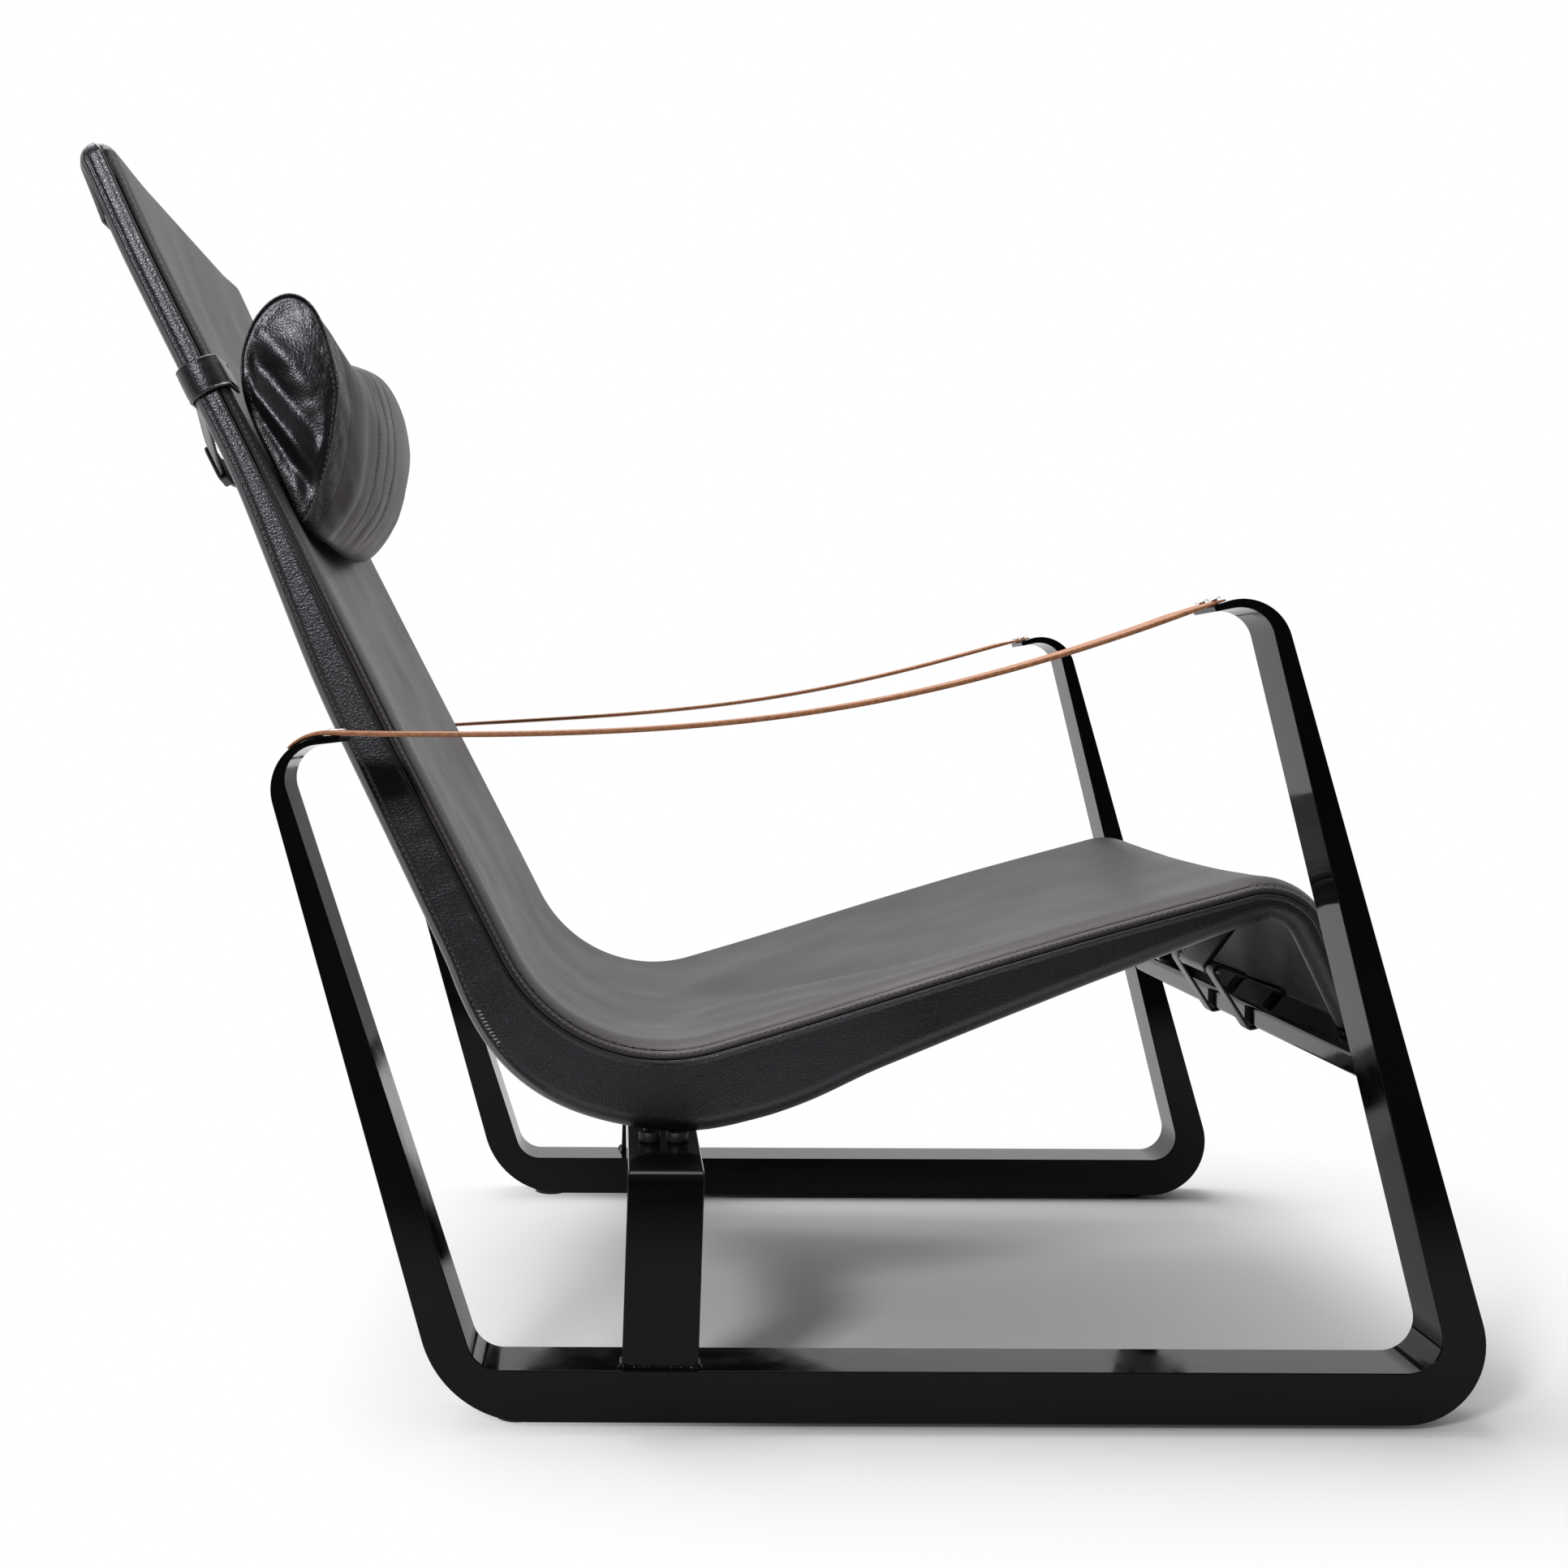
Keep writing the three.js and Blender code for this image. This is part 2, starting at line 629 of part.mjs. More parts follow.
const spread = (from, to, count) => {
  return Array.from({ length: count - 1 }, (_, i) => THREE.MathUtils.lerp(from, to, (i + 1) / count));
};
const bendStations = [bendStart, ...spread(bendStart, bendEnd, 9), bendEnd];
const frontStations = [frontStart, ...spread(frontStart, frontEnd, 7), frontEnd];

// Point of a cross-section: n out of the sitting side at distance s, y across the chair
const place = (s, n, y) => {
  const flat = along(pointAt(s), leftOf(wayAt(s)), n);
  return new THREE.Vector3(flat.x, y, flat.y);
};

// Section round a rail: two half-rounds joined by flanks, by angle from the sitting side
const topAngles = [-90, -60, -30, 0, 30, 60, 90];
const bottomAngles = [90, 120, 150, 180, 210, 240, 270];
const roundPoint = (s, y, round, depth, skin, angle, low) => {
  const centre = low ? skin - depth + round : -skin - round;
  return place(s, centre + round * Math.cos(rad(angle)), y + round * Math.sin(rad(angle)));
};
const railSection = (s, y, skin) => {
  const half = coverHalf - skin;
  const depth = depthAt(s);
  const fromTop = s - coverHalf + half;
  const round = fromTop < half ? Math.sqrt(half * half - (half - fromTop) * (half - fromTop)) : half;
  const shift = half - round;
  const top = topAngles.map((angle) => roundPoint(s, y, round, depth, skin + shift, angle, false));
  const low = bottomAngles.map((angle) => roundPoint(s, y, round, depth, skin + shift, angle, true));
  return top.concat(low);
};
const railSkin = leather + gap;
const hollowSkin = railSkin + railWall;
const railHead = (skin) => {
  const half = coverHalf - skin;
  return [0.04, 0.15, 0.4, 0.7].map((share) => coverHalf - half + share * half).concat(coverHalf);
};
const backMarks = [taperStart, waistPlace];
const straightStations = [...backMarks, ...bendStations, ...frontStations];
const cutToBar = (ring) => {
  const way = new THREE.Vector3(dropWay.x, 0, dropWay.y);
  const up = new THREE.Vector3(barUp.x, 0, barUp.y);
  const face = barPoint(0, gap);
  const target = new THREE.Vector3(face.x, 0, face.y);
  return ring.map((p) => {
    const reach = target.clone().sub(p).dot(up) / way.dot(up);
    return p.clone().addScaledVector(way, reach);
  });
};
const railBody = (y) => {
  const outer = railHead(railSkin).concat(straightStations).map((s) => railSection(s, y, railSkin));
  outer.push(cutToBar(railSection(lineEnd, y, railSkin)));
  const plugStart = lineEnd + footReveal - footPlug;
  const inner = [coverHalf].concat(straightStations, plugStart).map((s) => railSection(s, y, hollowSkin));
  const holes = boltPlaces.filter((bolts) => bolts.y === y).map(bridgeHole);
  return cut(loft(outer), loft(inner), ...holes, footHole(y));
};

// Tube between the rail tops, which passes through the inner walls of the sleeves
const tubeRadius = coverHalf - railSkin;
const tubeSpan = railSpacing - 2 * tubeRadius - 2 * gap;
const tubeCentre = along(pointAt(coverHalf), leftOf(backWay), -coverHalf);
const ringShape = (outer, inner) => {
  const shape = new THREE.Shape().absarc(0, 0, outer, 0, 2 * Math.PI, false);
  if (inner > 0) {
    shape.holes.push(new THREE.Path().absarc(0, 0, inner, 0, 2 * Math.PI, true));
  }
  return shape;
};
const tubeSlot = slab(ringShape(tubeRadius + gap, 0), railSpacing, 0, 12).translate(tubeCentre.x, 0, tubeCentre.y);
const tubeBody = slab(ringShape(tubeRadius, tubeRadius - railWall), tubeSpan, 0, 12);
add('top_tube', tubeBody.translate(tubeCentre.x, 0, tubeCentre.y), 'lacquer');

// Leather sleeve round a rail, from the outer seam under the rail to the sheet's inner side
const sleeveAngles = [['top', 82.5]].concat(
  bottomAngles.map((angle) => ['low', angle]),
  [['top', 270], ['top', 300], ['top', 313]],
);
const sleeveSection = (s, side, skin) => sleeveAngles.map(([end, angle]) => {
  const turn = side * angle;
  return roundPoint(s, side * railY, coverHalf - skin, depthAt(s), skin, turn, end === 'low');
});
const sleeveBody = (side) => {
  const stations = [coverHalf, flapLength].concat(straightStations, lineEnd);
  const rings = stations.map((s) => sleeveSection(s, side, 0).concat(sleeveSection(s, side, leather).reverse()));
  const holes = boltPlaces.filter((bolts) => bolts.y === side * railY).map(bridgeHole);
  return cut(loft(rings), tubeSlot, ...holes);
};

sides.forEach(([side, sign]) => {
  add(`seat_rail_${side}`, railBody(sign * railY), 'lacquer');
  add(`side_sleeve_${side}`, sleeveBody(sign), 'hide');
});

// Sling sheet: its edges turn over both rails to the outer seams, and it sags between them
const sheetAngles = [80, 60, 30];
const sheetColumns = 8;
const sags = [
  [0, 0],
  [coverHalf, 0],
  [2 * flapLength, backSag],
  [bendStart, backSag],
  [(bendEnd + frontStart) / 2, seatSag],
  [frontStart, seatSag / 2],
  [frontEnd, 0],
  [2 * lineEnd, 0],
];
const turnedEdges = (side, radius) => sheetAngles.map((angle) => ({
  y: side * (railY + radius * Math.sin(rad(angle))),
  lift: radius * Math.cos(rad(angle)),
}));
const sheetRow = (radius, sag) => {
  const middle = Array.from({ length: sheetColumns + 1 }, (_, i) => {
    const share = 2 * i / sheetColumns - 1;
    return { y: share * railY, lift: radius - sag * (1 - share * share) };
  });
  return [...turnedEdges(-1, radius), ...middle, ...turnedEdges(1, radius).reverse()];
};
const sheetRing = (centre, out, radius, sag, dip = 0) => {
  const upper = sheetRow(radius, sag);
  const lower = sheetRow(radius - leather, sag).reverse();
  return upper.concat(lower).map(({ y, lift }) => {
    const share = Math.max(0, 1 - (y / railY) * (y / railY));
    const flat = along(along(centre, out, lift), dropWay, dip * share);
    return new THREE.Vector3(flat.x, y, flat.y);
  });
};
const edgeCentre = (s) => along(pointAt(s), leftOf(wayAt(s)), -coverHalf);
const flapRadius = headDepth - coverHalf + gap + leather;
const headCentre = edgeCentre(coverHalf);
const sheetRings = [flapLength, flapLength / 2].map((s) => {
  return sheetRing(edgeCentre(s), leftOf(backWay).negate(), flapRadius, 0);
});
const wrapSteps = 7;
for (let i = 0; i <= wrapSteps; i += 1) {
  const share = i / wrapSteps;
  const out = leftOf(backWay).rotateAround(vec(0, 0), Math.PI * (1 - share));
  sheetRings.push(sheetRing(headCentre, out, THREE.MathUtils.lerp(flapRadius, coverHalf, share), 0));
}
const seatStations = [...bendStations, ...spread(bendEnd, frontStart, 6), ...frontStations];
const backStations = [flapLength, 2 * flapLength, taperStart, (taperStart + bendStart) / 2];
backStations.concat(seatStations).forEach((s) => {
  sheetRings.push(sheetRing(edgeCentre(s), leftOf(wayAt(s)), coverHalf, graded(sags, s)));
});
[0.4, 0.75, 1].forEach((share) => {
  const s = THREE.MathUtils.lerp(frontEnd, lineEnd, share);
  sheetRings.push(sheetRing(edgeCentre(s), dropNormal, coverHalf, 0, hemDip * share * share));
});
add('sling_sheet', loft(sheetRings), 'hide');

// Rear panel of the back, sewn between the sleeves behind the rails
const panelColumns = 6;
const panelRow = (s, n) => Array.from({ length: panelColumns + 1 }, (_, i) => {
  return place(s, n - depthAt(s), panelWidth * (i / panelColumns - 0.5));
});
const panelEnd = bendStart + panelTuck;
const panelStations = [2 * coverHalf, ...backMarks, ...bendStations.filter((s) => s < panelEnd), panelEnd];
const panelRings = panelStations.map((s) => panelRow(s, 0).concat(panelRow(s, leather).reverse()));
add('back_panel', loft(panelRings), 'hide');

// Front fastening: a tab behind the front drop holds a rod, and two strap loops tie the rod to the crossbar
const rodPoint = barPoint(-rodBack, rodRise);
const rodShape = new THREE.Shape().absarc(rodPoint.x, rodPoint.y, rodDiameter / 2, 0, 2 * Math.PI, false);
add('tension_rod', slab(rodShape, rodLength, 0, 6), 'zinc');
const loopRadius = rodDiameter / 2 + gap;
const loopPoints = [
  rodPoint,
  barPoint(0, -crossbarThickness),
  barPoint(crossbarDepth, -crossbarThickness),
  barPoint(crossbarDepth, 0),
].map((point) => rounded(point, 0));
const loopOutline = (grow) => {
  const grown = inset(loopPoints, -grow);
  return outline(grown.map((point) => rounded(point, grow)));
};
const loopShape = loopOutline(loopRadius + strapLeather);
loopShape.holes.push(new THREE.Path(loopOutline(loopRadius).getPoints(3)));
sides.forEach(([side, sign]) => {
  const body = slab(loopShape, tensionStrapWidth, sign * tensionStrapSpacing / 2, 3);
  add(`tension_strap_${side}`, body, 'hide');
});
const tabInset = coverHalf - leather - gap - strapLeather;
const tabTop = along(edgeCentre(frontEnd), dropNormal, tabInset);
const tabBreak = along(tabTop, dropWay, footReveal);
const tabRadius = loopRadius + strapLeather;
const tabRun = rodPoint.clone().sub(tabBreak);
const tabLean = Math.asin(tabRadius / tabRun.length());
const tabSide = leftOf(tabRun.clone().normalize()).negate().rotateAround(vec(0, 0), tabLean);
const tabTurn = Array.from({ length: 9 }, (_, i) => {
  const spoke = tabSide.clone().rotateAround(vec(0, 0), rad(i * 25));
  return along(rodPoint, spoke, tabRadius);
});
const tabPoints = [tabTop, along(tabTop, dropWay, footReveal / 2), tabBreak, ...tabTurn];
add('tension_tab', slab(ribbon(tabPoints, () => strapLeather), tabWidth), 'hide');

// Head cushion: a full roll with sewn channels across its front, and taller, leaf-shaped ends
const leafShares = [
  [0, 0.02], [0.17, 0.41], [0.51, 0.87], [0.75, 1], [0.93, 0.92],
  [1, 0.65], [0.94, 0.29], [0.79, 0.08], [0.53, 0.01], [0.27, 0.01],
];
const rollShares = [
  [-0.09, 0.03], [-0.07, 0.36], [0.2, 0.84], [0.55, 1.07], [0.76, 1.05],
  [0.87, 0.74], [0.81, 0.37], [0.62, 0.12], [0.38, 0.03], [0.13, 0.01],
];
const cushionLoop = (shares) => {
  const corners = shares.map(([up, out]) => new THREE.Vector3(up, out, 0));
  return new THREE.CatmullRomCurve3(corners, true, 'centripetal').getSpacedPoints(22).slice(0, -1);
};
const leafLoop = cushionLoop(leafShares);
const rollLoop = cushionLoop(rollShares);
const cushionHalf = cushionLength / 2;
const channels = [-2, -1, 0, 1, 2].map((k) => k * channelSpacing);
const channelFlank = 9;
const cushionColumns = [
  -cushionHalf, 4 - cushionHalf, 14 - cushionHalf, 40 - cushionHalf,
  ...channels.flatMap((y) => [y - channelFlank, y, y + channelFlank]),
  cushionHalf - 40, cushionHalf - 14, cushionHalf - 4, cushionHalf,
];
const cushionRings = cushionColumns.map((y) => {
  const full = 1 - Math.pow(y / cushionHalf, 4);
  const sewn = channels.includes(y) ? channelDepth : 0;
  const ease = THREE.MathUtils.clamp((cushionHalf - Math.abs(y)) / 14, 0, 1);
  const shrink = THREE.MathUtils.lerp(0.9, 1, Math.sqrt(ease));
  return leafLoop.map(({ x, y: out }, i) => {
    const up = THREE.MathUtils.lerp(0.5 + (x - 0.5) * shrink, rollLoop[i].x, full);
    const lift = THREE.MathUtils.lerp(out * shrink, rollLoop[i].y, full);
    const n = cushionThickness * lift - sewn * out;
    return place(cushionPlace - cushionHeight * up, Math.max(n, 2 * gap), y);
  });
});
add('head_cushion', loft(cushionRings), 'hide');

// Belt: from one end of the cushion round both rails, slack behind the back
const beltCentre = -headDepth / 2;
const beltInner = headDepth / 2 + gap;
const beltMiddle = beltInner + beltThickness / 2;
const beltPlace = cushionPlace - beltRise;
const downWay = vec(0, -1);
const beltSlack = (y) => {
  const share = (y + railY) / (2 * railY);
  return 6.75 * share * (1 - share) * (1 - share);
};
const beltRear = (y) => ({
  y,
  n: beltCentre - beltMiddle - beltBulge * beltSlack(y),
  fall: beltDrop * beltSlack(y),
});
const beltTurn = (sign) => [0, 22.5, 45, 67.5, 90, 112.5, 135, 157.5, 180].map((angle) => ({
  y: sign * (railY + beltMiddle * Math.sin(rad(angle))),
  n: beltCentre + beltMiddle * Math.cos(rad(angle)),
  fall: 0,
}));
const beltEnd = (sign) => ({ y: sign * (cushionHalf + gap), n: beltCentre + beltMiddle, fall: 0 });
const beltSpot = ({ y, n, fall }) => {
  const flat = along(along(pointAt(beltPlace), leftOf(backWay), n), downWay, fall);
  return new THREE.Vector3(flat.x, y, flat.y);
};
const beltStrip = (stations, width, thickness) => {
  const spots = stations.map(beltSpot);
  const up = new THREE.Vector3(-backWay.x, 0, -backWay.y);
  return loft(spots.map((spot, i) => {
    const next = spots[Math.min(i + 1, spots.length - 1)];
    const last = spots[Math.max(i - 1, 0)];
    const out = next.clone().sub(last).cross(up).normalize();
    const corner = (a, b) => spot.clone().addScaledVector(up, a * width / 2).addScaledVector(out, b * thickness / 2);
    return [corner(-1, -1), corner(1, -1), corner(1, 1), corner(-1, 1)];
  }));
};
const beltColumns = spread(-railY, railY, 16).map(beltRear);
const beltStations = [beltEnd(-1), ...beltTurn(-1), ...beltColumns, ...beltTurn(1).reverse(), beltEnd(1)];
add('head_belt', beltStrip(beltStations, beltWidth, beltThickness), 'hide');
const sliderColumns = (over) => {
  const half = sliderLength / 2 + over;
  return spread(-sliderPlace - 2 * half, -sliderPlace + 2 * half, 4).map(beltRear);
};
const sliderSlot = beltStrip(sliderColumns(2), beltWidth + 2 * gap, beltThickness + 4 * gap);
add('belt_slider', cut(beltStrip(sliderColumns(0), sliderWidth, sliderThickness), sliderSlot), 'nylon');

// The chair stands with the middle of its box over the origin
const box = new THREE.Box3().setFromObject(chair);
chair.position.x = -(box.min.x + box.max.x) / 2;

export default chair;
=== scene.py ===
import bisect
import math

import bmesh
import bpy
from mathutils import Matrix, Vector, kdtree, noise
from mathutils.bvhtree import BVHTree


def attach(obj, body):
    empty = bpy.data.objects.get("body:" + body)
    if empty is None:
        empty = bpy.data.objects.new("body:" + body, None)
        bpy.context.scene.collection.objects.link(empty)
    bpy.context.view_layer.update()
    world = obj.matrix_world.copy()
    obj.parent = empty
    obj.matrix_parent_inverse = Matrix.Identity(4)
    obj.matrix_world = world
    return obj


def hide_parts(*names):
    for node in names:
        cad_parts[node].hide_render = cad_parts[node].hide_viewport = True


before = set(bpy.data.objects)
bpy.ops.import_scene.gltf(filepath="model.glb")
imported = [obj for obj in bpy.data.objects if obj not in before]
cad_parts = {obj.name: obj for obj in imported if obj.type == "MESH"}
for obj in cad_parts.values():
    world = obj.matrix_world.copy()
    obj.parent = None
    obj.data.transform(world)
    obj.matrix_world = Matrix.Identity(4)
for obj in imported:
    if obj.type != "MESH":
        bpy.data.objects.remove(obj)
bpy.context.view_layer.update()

# Leather sling lounge chair, in millimetres until a piece is finished.
# +X is the front, +Y the sitter's left, +Z up, floor at Z = 0.

MM = 0.001
SIDES = (("left", 1), ("right", -1))

# Side frames
BLADE_Y = 315.0
BLADE_WIDTH = 50.0
BLADE_CORNERS = (
    (-202.148, 4.0, 71.0), (477.352, 4.0, 51.0), (326.326, 539.5, 32.0), (285.742, 525.288, 0.0),
    (287.064, 521.513, 0.0), (319.347, 528.458, 22.0), (439.024, 37.2, 22.0), (-182.183, 37.2, 22.0),
    (-312.450, 431.533, 22.0), (-269.910, 436.461, 0.0), (-269.980, 440.460, 0.0), (-324.971, 439.5, 34.0),
)
GLIDE_PLACES = {"front": 395.352, "rear": -156.148}

# Front crossbar and rear bridge
POST_LEAN = 15.75
BAR_REAR = Vector((390.959, 234.5))
BAR_DEPTH = 31.0
BAR_THICKNESS = 20.0
BAR_SPAN = 579.4
BAR_CORNER = 4.0
FOOT_SETBACK = 27.5
BRIDGE_REAR = -89.148
BRIDGE_MID = -61.061
BRIDGE_LENGTH = 49.0
BRIDGE_HALF = 335.0
BRIDGE_TOP = 162.0
BRIDGE_FOOT = 37.5
BRIDGE_FLANGE = 22.0
BRIDGE_FOLD = 9.0
BRIDGE_WALL = 4.0
BRIDGE_SLOPE = math.tan(math.radians(1.65))
BOLT_SPACING = 19.0

# Sitting line: from the head down the back, round the seat bend, along the seat and down the front drop
BACK_ANGLE = 26.7
SEAT_ANGLE = 16.5
DROP_ANGLE = 25.6
HEAD = Vector((-440.959, 844.349))
BEND_CENTRE = Vector((-61.061, 344.949))
BEND_RADIUS = 115.0
FRONT_RADIUS = 50.0
TAPER_START = 240.0
BEND_START = 616.845
BEND_END = 777.014
FRONT_START = 1156.909
FRONT_END = 1227.507
LINE_END = 1289.123
DEPTHS = (
    (0.0, 24.6), (TAPER_START, 24.6), (400.0, 40.0), (BEND_START, 46.0), (BEND_END, 64.0),
    (FRONT_START, 30.0), (FRONT_END, 27.0), (2 * LINE_END, 27.0),
)
# The rails bow a little off the straight line: backwards behind the head, upwards under the thighs
BOWS = (
    (0.0, -1.5), (20.0, -2.0), (65.0, -4.2), (135.0, -4.3), (366.0, -2.7), (511.0, -0.8), (600.0, 0.0),
    (830.0, 0.2), (950.0, 2.2), (1040.0, 2.7), (1110.0, 1.5), (1160.0, 0.2), (2 * LINE_END, 0.0),
)
# Where the hide hangs full round a rail: start, end and most
FULLNESS = ((605.0, 740.0, 5.0), (765.0, 885.0, 2.5))
RAIL_Y = 237.0
RAIL_RADIUS = 9.7
COVER_HALF = 12.0
LEATHER = 2.0
FLAP_LENGTH = 60.0
HOOD_END = 41.0
FLAP_RADIUS = 14.9
PANEL_END = 658.845
PANEL_HALF = 229.5
PANEL_HOLLOW = 4.0
SAGS = (
    (0.0, 0.0), (COVER_HALF, 0.0), (2 * FLAP_LENGTH, 8.0), (BEND_START, 8.0),
    ((BEND_END + FRONT_START) / 2, 14.0), (FRONT_START, 7.0), (FRONT_END, 0.0), (2 * LINE_END, 0.0),
)
HEM_DIP = 24.0
HEM_END = LINE_END + 18.0
HEM_SEAM = 7.0
HOOD_SEAM = 6.0
BAND_END = LINE_END + 10.0


def heading(degrees):
    return Vector((math.cos(math.radians(degrees)), math.sin(math.radians(degrees))))


def left_of(way):
    return Vector((-way.y, way.x))


def mix(a, b, share):
    return a + (b - a) * share


def ease(low, high, value):
    """0 below low, 1 above high, smooth between."""
    share = min(1.0, max(0.0, (value - low) / (high - low)))
    return share * share * (3 - 2 * share)


def hump(away, width):
    """1 at the middle of a bump, and less away from it."""
    return math.exp(-((away / width) ** 2))


def upright(flat, y=0):
    """A point or way of the XZ plane in space."""
    return Vector((flat.x, y, flat.y))


def pulled(rows, at, start, reach):
    """Height of creases, each with its start, end, half width and rise."""
    height = 0.0
    for x0, y0, x1, y1, width, rise in rows:
        a, run = Vector((x0, y0)), Vector((x1 - x0, y1 - y0))
        share = min(1.0, max(0.0, (at - a).dot(run) / run.length_squared))
        away = (at - (a + run * share)).length
        height += rise * hump(away, width) * math.sin(math.pi * (start + reach * share))
    return height


def graded(table, at):
    for (a, low), (b, high) in zip(table, table[1:]):
        if at <= b:
            return mix(low, high, max(0.0, (at - a) / (b - a)))
    return table[-1][1]


BACK_WAY = heading(BACK_ANGLE - 90)
SEAT_WAY = heading(SEAT_ANGLE)
DROP_WAY = heading(DROP_ANGLE - 90)
SEAT_BEGIN = BEND_CENTRE - left_of(SEAT_WAY) * BEND_RADIUS
FRONT_CENTRE = SEAT_BEGIN + SEAT_WAY * (FRONT_START - BEND_END) - left_of(SEAT_WAY) * FRONT_RADIUS
DROP_BEGIN = FRONT_CENTRE + left_of(DROP_WAY) * FRONT_RADIUS


def line_at(s):
    """Point and way of the sitting line at a distance from the head."""
    if s <= BEND_START:
        return HEAD + BACK_WAY * s, BACK_WAY
    if s < BEND_END:
        way = heading(BACK_ANGLE - 90 + math.degrees((s - BEND_START) / BEND_RADIUS))
        return BEND_CENTRE - left_of(way) * BEND_RADIUS, way
    if s <= FRONT_START:
        return SEAT_BEGIN + SEAT_WAY * (s - BEND_END), SEAT_WAY
    if s < FRONT_END:
        way = heading(SEAT_ANGLE - math.degrees((s - FRONT_START) / FRONT_RADIUS))
        return FRONT_CENTRE + left_of(way) * FRONT_RADIUS, way
    return DROP_BEGIN + DROP_WAY * (s - FRONT_END), DROP_WAY


def eased(table, s):
    """Value of a table at a distance from the head, with its corners rounded."""
    return sum(graded(table, s + step) for step in (-24, -12, 0, 12, 24)) / 5


def straight_spot(s, n, y):
    """Point at a distance s from the head, n out of the sitting side and y across."""
    point, way = line_at(s)
    out = left_of(way)
    return Vector((point.x + out.x * n, y, point.y + out.y * n))


def spot(s, n, y):
    """The same point on the bowed rails."""
    return straight_spot(s, n + eased(BOWS, s), y)


def out_at(s):
    return upright(left_of(line_at(s)[1]))


def rail_depth(s):
    return eased(DEPTHS, s)


def depth_at(s):
    """Depth of the cover round a rail: the hide hangs a little full on both sides of the bridge."""
    depth = rail_depth(s)
    for low, high, full in FULLNESS:
        if low < s < high:
            depth += full * math.sin(math.pi * (s - low) / (high - low)) ** 2
    return depth


# Finishes


class Nodes:
    """A node tree that is built node by node."""

    def __init__(self, tree):
        self.tree = tree

    def node(self, kind, links=None, settings=None, **values):
        made = self.tree.nodes.new(kind)
        for key, value in (settings or {}).items():
            setattr(made, key, value)
        for socket, value in values.items():
            made.inputs[socket.replace("_", " ")].default_value = value
        for socket, source in (links or {}).items():
            self.tree.links.new(source, made.inputs[socket])
        return made

    def spread(self, source, low, high, start=0.0, end=1.0, **settings):
        values = {"From_Min": start, "From_Max": end, "To_Min": low, "To_Max": high}
        return self.node("ShaderNodeMapRange", {"Value": source}, settings, **values).outputs["Result"]

    def math(self, operation, a, b):
        made = self.node("ShaderNodeMath", settings={"operation": operation})
        for socket, value in zip(made.inputs, (a, b)):
            if isinstance(value, (int, float)):
                socket.default_value = value
            else:
                self.tree.links.new(value, socket)
        return made.outputs[0]


class Finish(Nodes):
    """A node material with one surface shader."""

    def __init__(self, name, **values):
        self.material = bpy.data.materials.new(name)
        self.material.use_nodes = True
        super().__init__(self.material.node_tree)
        self.shader = self.tree.nodes["Principled BSDF"]
        for socket, value in values.items():
            self.shader.inputs[socket.replace("_", " ")].default_value = value
        self.place = self.node("ShaderNodeTexCoord").outputs["Object"]

    def grain(self, scale, detail=3.0, roughness=0.5, place=None):
        values = {"Scale": scale, "Detail": detail, "Roughness": roughness}
        return self.node("ShaderNodeTexNoise", {"Vector": place or self.place}, **values).outputs["Fac"]

    def pebbles(self, scale, feature="DISTANCE_TO_EDGE", place=None):
        links = {"Vector": place or self.place}
        return self.node("ShaderNodeTexVoronoi", links, {"feature": feature}, Scale=scale).outputs["Distance"]

    def drawn(self, *scale):
        """Places stretched along one axis, for lines and streaks."""
        return self.node("ShaderNodeMapping", {"Vector": self.place}, Scale=scale).outputs[0]

    def tint(self, source, *stops):
        made = self.node("ShaderNodeValToRGB", {"Fac": source})
        ramp = made.color_ramp
        while len(ramp.elements) < len(stops):
            ramp.elements.new(0.5)
        for element, (at, colour) in zip(ramp.elements, stops):
            element.position = at
            element.color = (*colour, 1)
        return made.outputs["Color"]

    def blend(self, share, a, b):
        made = self.node("ShaderNodeMix", settings={"data_type": "RGBA"})
        for socket, value in ((made.inputs[0], share), (made.inputs[6], a), (made.inputs[7], b)):
            if hasattr(value, "is_output"):
                self.tree.links.new(value, socket)
            else:
                socket.default_value = value if isinstance(value, float) else (*value, 1)
        return made.outputs[2]

    def bump(self, height, distance, strength=1.0, under=None):
        links = {"Height": height, "Normal": under} if under else {"Height": height}
        return self.node("ShaderNodeBump", links, Distance=distance, Strength=strength).outputs["Normal"]

    def set(self, **sources):
        for socket, source in sources.items():
            self.tree.links.new(source, self.shader.inputs[socket.replace("_", " ")])
        return self.material


def gloss_lacquer():
    """Black lacquer on steel: deep gloss with a faint orange peel and a little dust."""
    f = Finish("gloss_lacquer", Specular_IOR_Level=0.12)
    cloud = f.grain(9.0, 4.0)
    peel = f.bump(f.grain(420.0, 2.0), 0.0001, 0.1)
    wave = f.bump(f.grain(26.0, 1.0), 0.0004, 0.08, peel)
    return f.set(
        Base_Color=f.tint(cloud, (0.3, (0.0022, 0.0021, 0.0023)), (0.75, (0.0042, 0.004, 0.004))),
        Roughness=f.spread(f.grain(38.0, 5.0), 0.04, 0.13, 0.3, 0.75),
        Normal=wave,
    )


